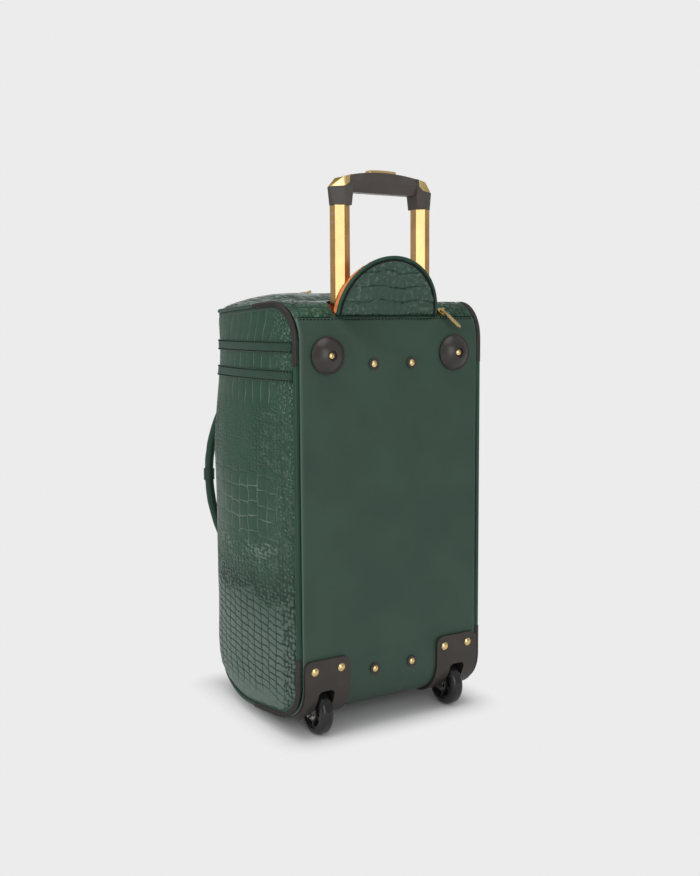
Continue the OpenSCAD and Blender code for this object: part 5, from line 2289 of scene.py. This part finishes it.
@dataclass
class Hardware:
    """The rigid parts, with their sharp edges eased."""

    finishes: dict[str, tuple[Finish, str, float]] = field(default_factory=dict)

    def __post_init__(self) -> None:
        """Fills in the finish, slot and eased edge of each part."""
        black, gold, steel = Finishes.BLACK, Finishes.GOLD, Finishes.STEEL
        rows = [
            ("back_foot_left back_foot_right", Finishes.FOOT, "black_plastic", 0.0006),
            ("trolley_washers", black, "black_plastic", 0.0004),
            ("trolley_rivets foot_screws housing_rivets", gold, "gold", 0.0002),
            ("wheel_housing_left wheel_housing_right", black, "black_plastic", 0.0009),
            ("axles bearings_left bearings_right", steel, "steel", 0.0002),
            ("tyre_left tyre_right", Finishes.TYRE, "tyre", 0.0),
            ("hub_left hub_right", Finishes.HUB, "black_plastic", 0.0005),
            ("stand_feet", black, "black_plastic", 0.0008),
            ("channel_left channel_right", Finishes.CHANNEL, "channel", 0.0003),
            ("top_bracket bottom_bracket", black, "black_plastic", 0.0006),
            ("base_board", Finishes.BOARD, "board", 0.0004),
            ("middle_tube_left middle_tube_right", Finishes.TUBE, "gold_tube", 0.0003),
            ("inner_tube_left inner_tube_right", Finishes.TUBE, "gold_tube", 0.0007),
            ("middle_collars inner_plugs", black, "black_plastic", 0.0004),
            ("grip", Finishes.GRIP, "grip_plastic", 0.0011),
            ("corner_cap_left corner_cap_right", gold, "gold", 0.0007),
            ("tube_rivets release_rods", steel, "steel", 0.0002),
            ("release_button", gold, "gold", 0.0008),
            ("flap_slider flap_pull main_slider main_pull", gold, "gold", 0.0003),
            ("handle_pins", gold, "gold", 0.0002),
        ]
        for names, finish, slot, width in rows:
            for name in names.split():
                self.finishes[name] = (finish, slot, width)

    def build(self) -> list[bpy.types.Object]:
        """Builds the eased parts.

        Returns:
            The parts.
        """
        made = []
        for node, (finish, slot, width) in self.finishes.items():
            body = bpy.data.objects[node]["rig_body"]
            obj = softened(node, finish, width)
            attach(obj, body)
            made.append(obj)
        return made


@dataclass
class CarryHandles:
    """Rolled leather handles with their tabs, keeper and hanging strap."""

    form: BagForm
    x: float = 0.095
    anchor: float = 0.255
    z: float = 0.285
    span: float = 0.220
    reach: float = 0.038
    thick: float = 0.012
    lean: float = math.radians(30)

    def arc(self, side: int, shift: float, share: float) -> np.ndarray:
        """A line along a handle's arc.

        Args:
            side: -1 for left, 1 for right.
            shift: Distance outside the arc's middle line.
            share: How much of the arc it covers.

        Returns:
            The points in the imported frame.
        """
        r = ((self.span / 2) ** 2 + self.reach**2) / (2 * self.reach)
        most = math.acos((0.0065 + r - self.reach) / r)
        a = np.linspace(-most, most, 60) * share
        out = self.reach - r + (r + shift) * np.cos(a)
        way = math.pi / 2 - self.lean
        x = self.x + out * math.cos(way)
        y = self.anchor + out * math.sin(way)
        return self.form.packed(side * x, y, self.z + (r + shift) * np.sin(a))

    def build(self) -> list[bpy.types.Object]:
        """Builds the handles and what they hang on.

        Returns:
            The pieces.
        """
        made = []
        thread = Run(Small.STITCH, 0.0032, 0.0023, 0.0007, 0.0006, Finishes.THREAD)
        for side, word in ((-1, "left"), (1, "right")):
            body = f"carry_{word}"
            obj = supple(f"carry_handle_{word}", Finishes.TRIM, 0.0011, 0.0004, 20.0 + side)
            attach(obj, body)
            seam = self.arc(side, -self.thick / 2 + 0.0001, 0.86)
            sewn = thread.along(f"carry_stitches_{word}", [(seam, np.array([0, 1.0, 0]))])
            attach(sewn, body)
            made += [obj, sewn]
        rows = [
            ("handle_keeper", Finishes.TRIM, 0.0007, "carry_left", "leather"),
            ("handle_tabs", Finishes.TRIM, 0.0008, "bag", "leather"),
            ("strap_tail", Finishes.TAPE, 0.0006, "bag", "black_tape"),
        ]
        for node, finish, voxel, body, slot in rows:
            obj = supple(node, finish, voxel, 0.0002)
            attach(obj, body)
            made.append(obj)
        return made


@dataclass
class HemStitches:
    """The row of black stitches along the back panel's hem."""

    form: BagForm
    skin: Skin

    def build(self) -> list[bpy.types.Object]:
        """Builds the stitches.

        Returns:
            The piece.
        """
        f = self.form
        x = np.linspace(-0.121, 0.121, 120)
        z = np.full_like(x, f.hem - 0.0026)
        y = f.corner - np.sqrt(f.corner**2 - (z - f.high) ** 2)
        a = np.arcsin((z - f.high) / f.corner)
        sink = self.skin.panel_sink(x, y, z) - 0.0005
        path = f.packed(x, y + sink * np.cos(a), z - sink * np.sin(a))
        out = together(0 * a, -np.cos(a), np.sin(a))
        run = Run(Small.STITCH, 0.0046, 0.0031, 0.0015, 0.0012, Finishes.THREAD)
        obj = run.along("hem_stitches", [(path, out)])
        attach(obj, "bag")
        return [obj]


# ---- Studio --------------------------------------------------------------


@dataclass
class Studio:
    """The pale floor, soft light and the camera."""

    pale: float = 0.838
    gloss: float = 0.40
    ambient: float = 0.60
    eye: tuple[float, float, float] = (-0.7022, -1.1956, 0.4967)
    aim: tuple[float, float, float] = (0.0123, -0.0211, 0.3424)
    roll: float = math.radians(-0.3713)
    lens: float = 43.6

    def camera(self) -> None:
        """Sets the camera at the viewing angle."""
        data = bpy.data.cameras.new("camera")
        data.lens = self.lens
        data.sensor_width = 36.0
        cam = linked("camera", data)
        way = Vector(self.aim) - Vector(self.eye)
        turn = way.to_track_quat("-Z", "Y").to_matrix().to_4x4()
        cam.matrix_world = (Matrix.Translation(self.eye) @ turn @ Matrix.Rotation(self.roll, 4, "Z"))
        bpy.context.scene.camera = cam

    def floor(self) -> None:
        """Lays the floor, which fades into the backdrop's tone close round the object."""
        net = Net("pale_floor")
        net.surface(Base_Color=(0.80, 0.80, 0.80), Roughness=0.9, Specular_IOR_Level=0.1)
        x, y, _ = net.parts(net.place())
        beside = (x.size() - 0.112).over(0)
        beyond = ((y + 0.012).size() - 0.112).over(0)
        far = (beside * beside + beyond * beyond) ** 0.5
        plain = net.node("ShaderNodeEmission", None, {"Color": (self.pale,) * 3, "Strength": 1.0})
        ray = net.node("ShaderNodeLightPath", None, None, "Is Camera Ray")
        share = far.ease(0.0, 0.06) * ray
        mixed = net.node(
            "ShaderNodeMixShader",
            None,
            {0: share, 1: Wire(net, net.shader.outputs[0]), 2: plain},
        )
        net.tree.links.new(mixed.socket, net.output.inputs["Surface"])
        size = 12.0
        corners = np.array([[-size, -size, 0], [size, -size, 0], [size, size, 0], [-size, size, 0]])
        mesh_piece("floor", corners, [(0, 1, 2, 3)], None, net.material)

    def world(self) -> None:
        """Lights the object evenly and shows a pale backdrop."""
        world = bpy.data.worlds.new("studio")
        world.use_nodes = True
        bpy.context.scene.world = world
        tree = world.node_tree
        shade = next(n for n in tree.nodes if n.type == "BACKGROUND")
        shade.inputs["Color"].default_value = (self.ambient,) * 3 + (1,)
        shade.inputs["Strength"].default_value = 1.0
        ray = tree.nodes.new("ShaderNodeLightPath")
        so_far = shade.outputs[0]
        for rays, tone in (("Is Glossy Ray", self.gloss), ("Is Camera Ray", self.pale)):
            seen = tree.nodes.new("ShaderNodeBackground")
            seen.inputs["Color"].default_value = (tone,) * 3 + (1,)
            mix = tree.nodes.new("ShaderNodeMixShader")
            tree.links.new(ray.outputs[rays], mix.inputs[0])
            tree.links.new(so_far, mix.inputs[1])
            tree.links.new(seen.outputs[0], mix.inputs[2])
            so_far = mix.outputs[0]
        output = next(n for n in tree.nodes if n.type == "OUTPUT_WORLD")
        tree.links.new(so_far, output.inputs["Surface"])

    def lamp(
        self, name: str, at: tuple[float, float, float], size: tuple[float, float], watts: float
    ) -> None:
        """Hangs a soft box that faces the object.

        Args:
            name: The lamp's name.
            at: Its place.
            size: Its width and height.
            watts: Its strength.
        """
        data = bpy.data.lights.new(name, "AREA")
        data.shape = "RECTANGLE"
        data.size, data.size_y = size
        data.energy = watts
        obj = linked(name, data)
        obj.location = at
        obj.rotation_mode = "QUATERNION"
        obj.rotation_quaternion = (Vector((0, 0, 0.3)) - Vector(at)).to_track_quat("-Z", "Y")

    def build(self) -> None:
        """Sets up the studio."""
        self.camera()
        self.floor()
        self.world()
        self.lamp("overhead", (-0.4, -0.3, 2.4), (1.8, 1.8), 14.0)
        self.lamp("left_box", (-2.4, -0.1, 1.5), (0.8, 1.2), 9.0)
        self.lamp("front_box", (-0.6, -2.5, 0.9), (1.3, 1.8), 15.0)
        self.lamp("back_box", (1.2, 2.3, 0.7), (1.5, 1.4), 16.0)
        bpy.context.scene.view_settings.view_transform = "Standard"


def main() -> None:
    """Builds the bag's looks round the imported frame."""
    logging.basicConfig(level=logging.INFO, format="%(message)s")
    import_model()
    Studio().build()
    form = BagForm(middle=-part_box("base_panel")[0].y)
    skin = Skin(form)
    parts = [
        skin,
        Seams(form),
        Belts(form),
        MainZip(form),
        Well(form, skin),
        Flap(form),
        HemStitches(form, skin),
        CarryHandles(form),
        Hardware(),
    ]
    for part in parts:
        for obj in part.build():
            LOG.info("%s: %d faces", obj.name, len(obj.data.polygons))


if __name__ == "__main__":
    main()
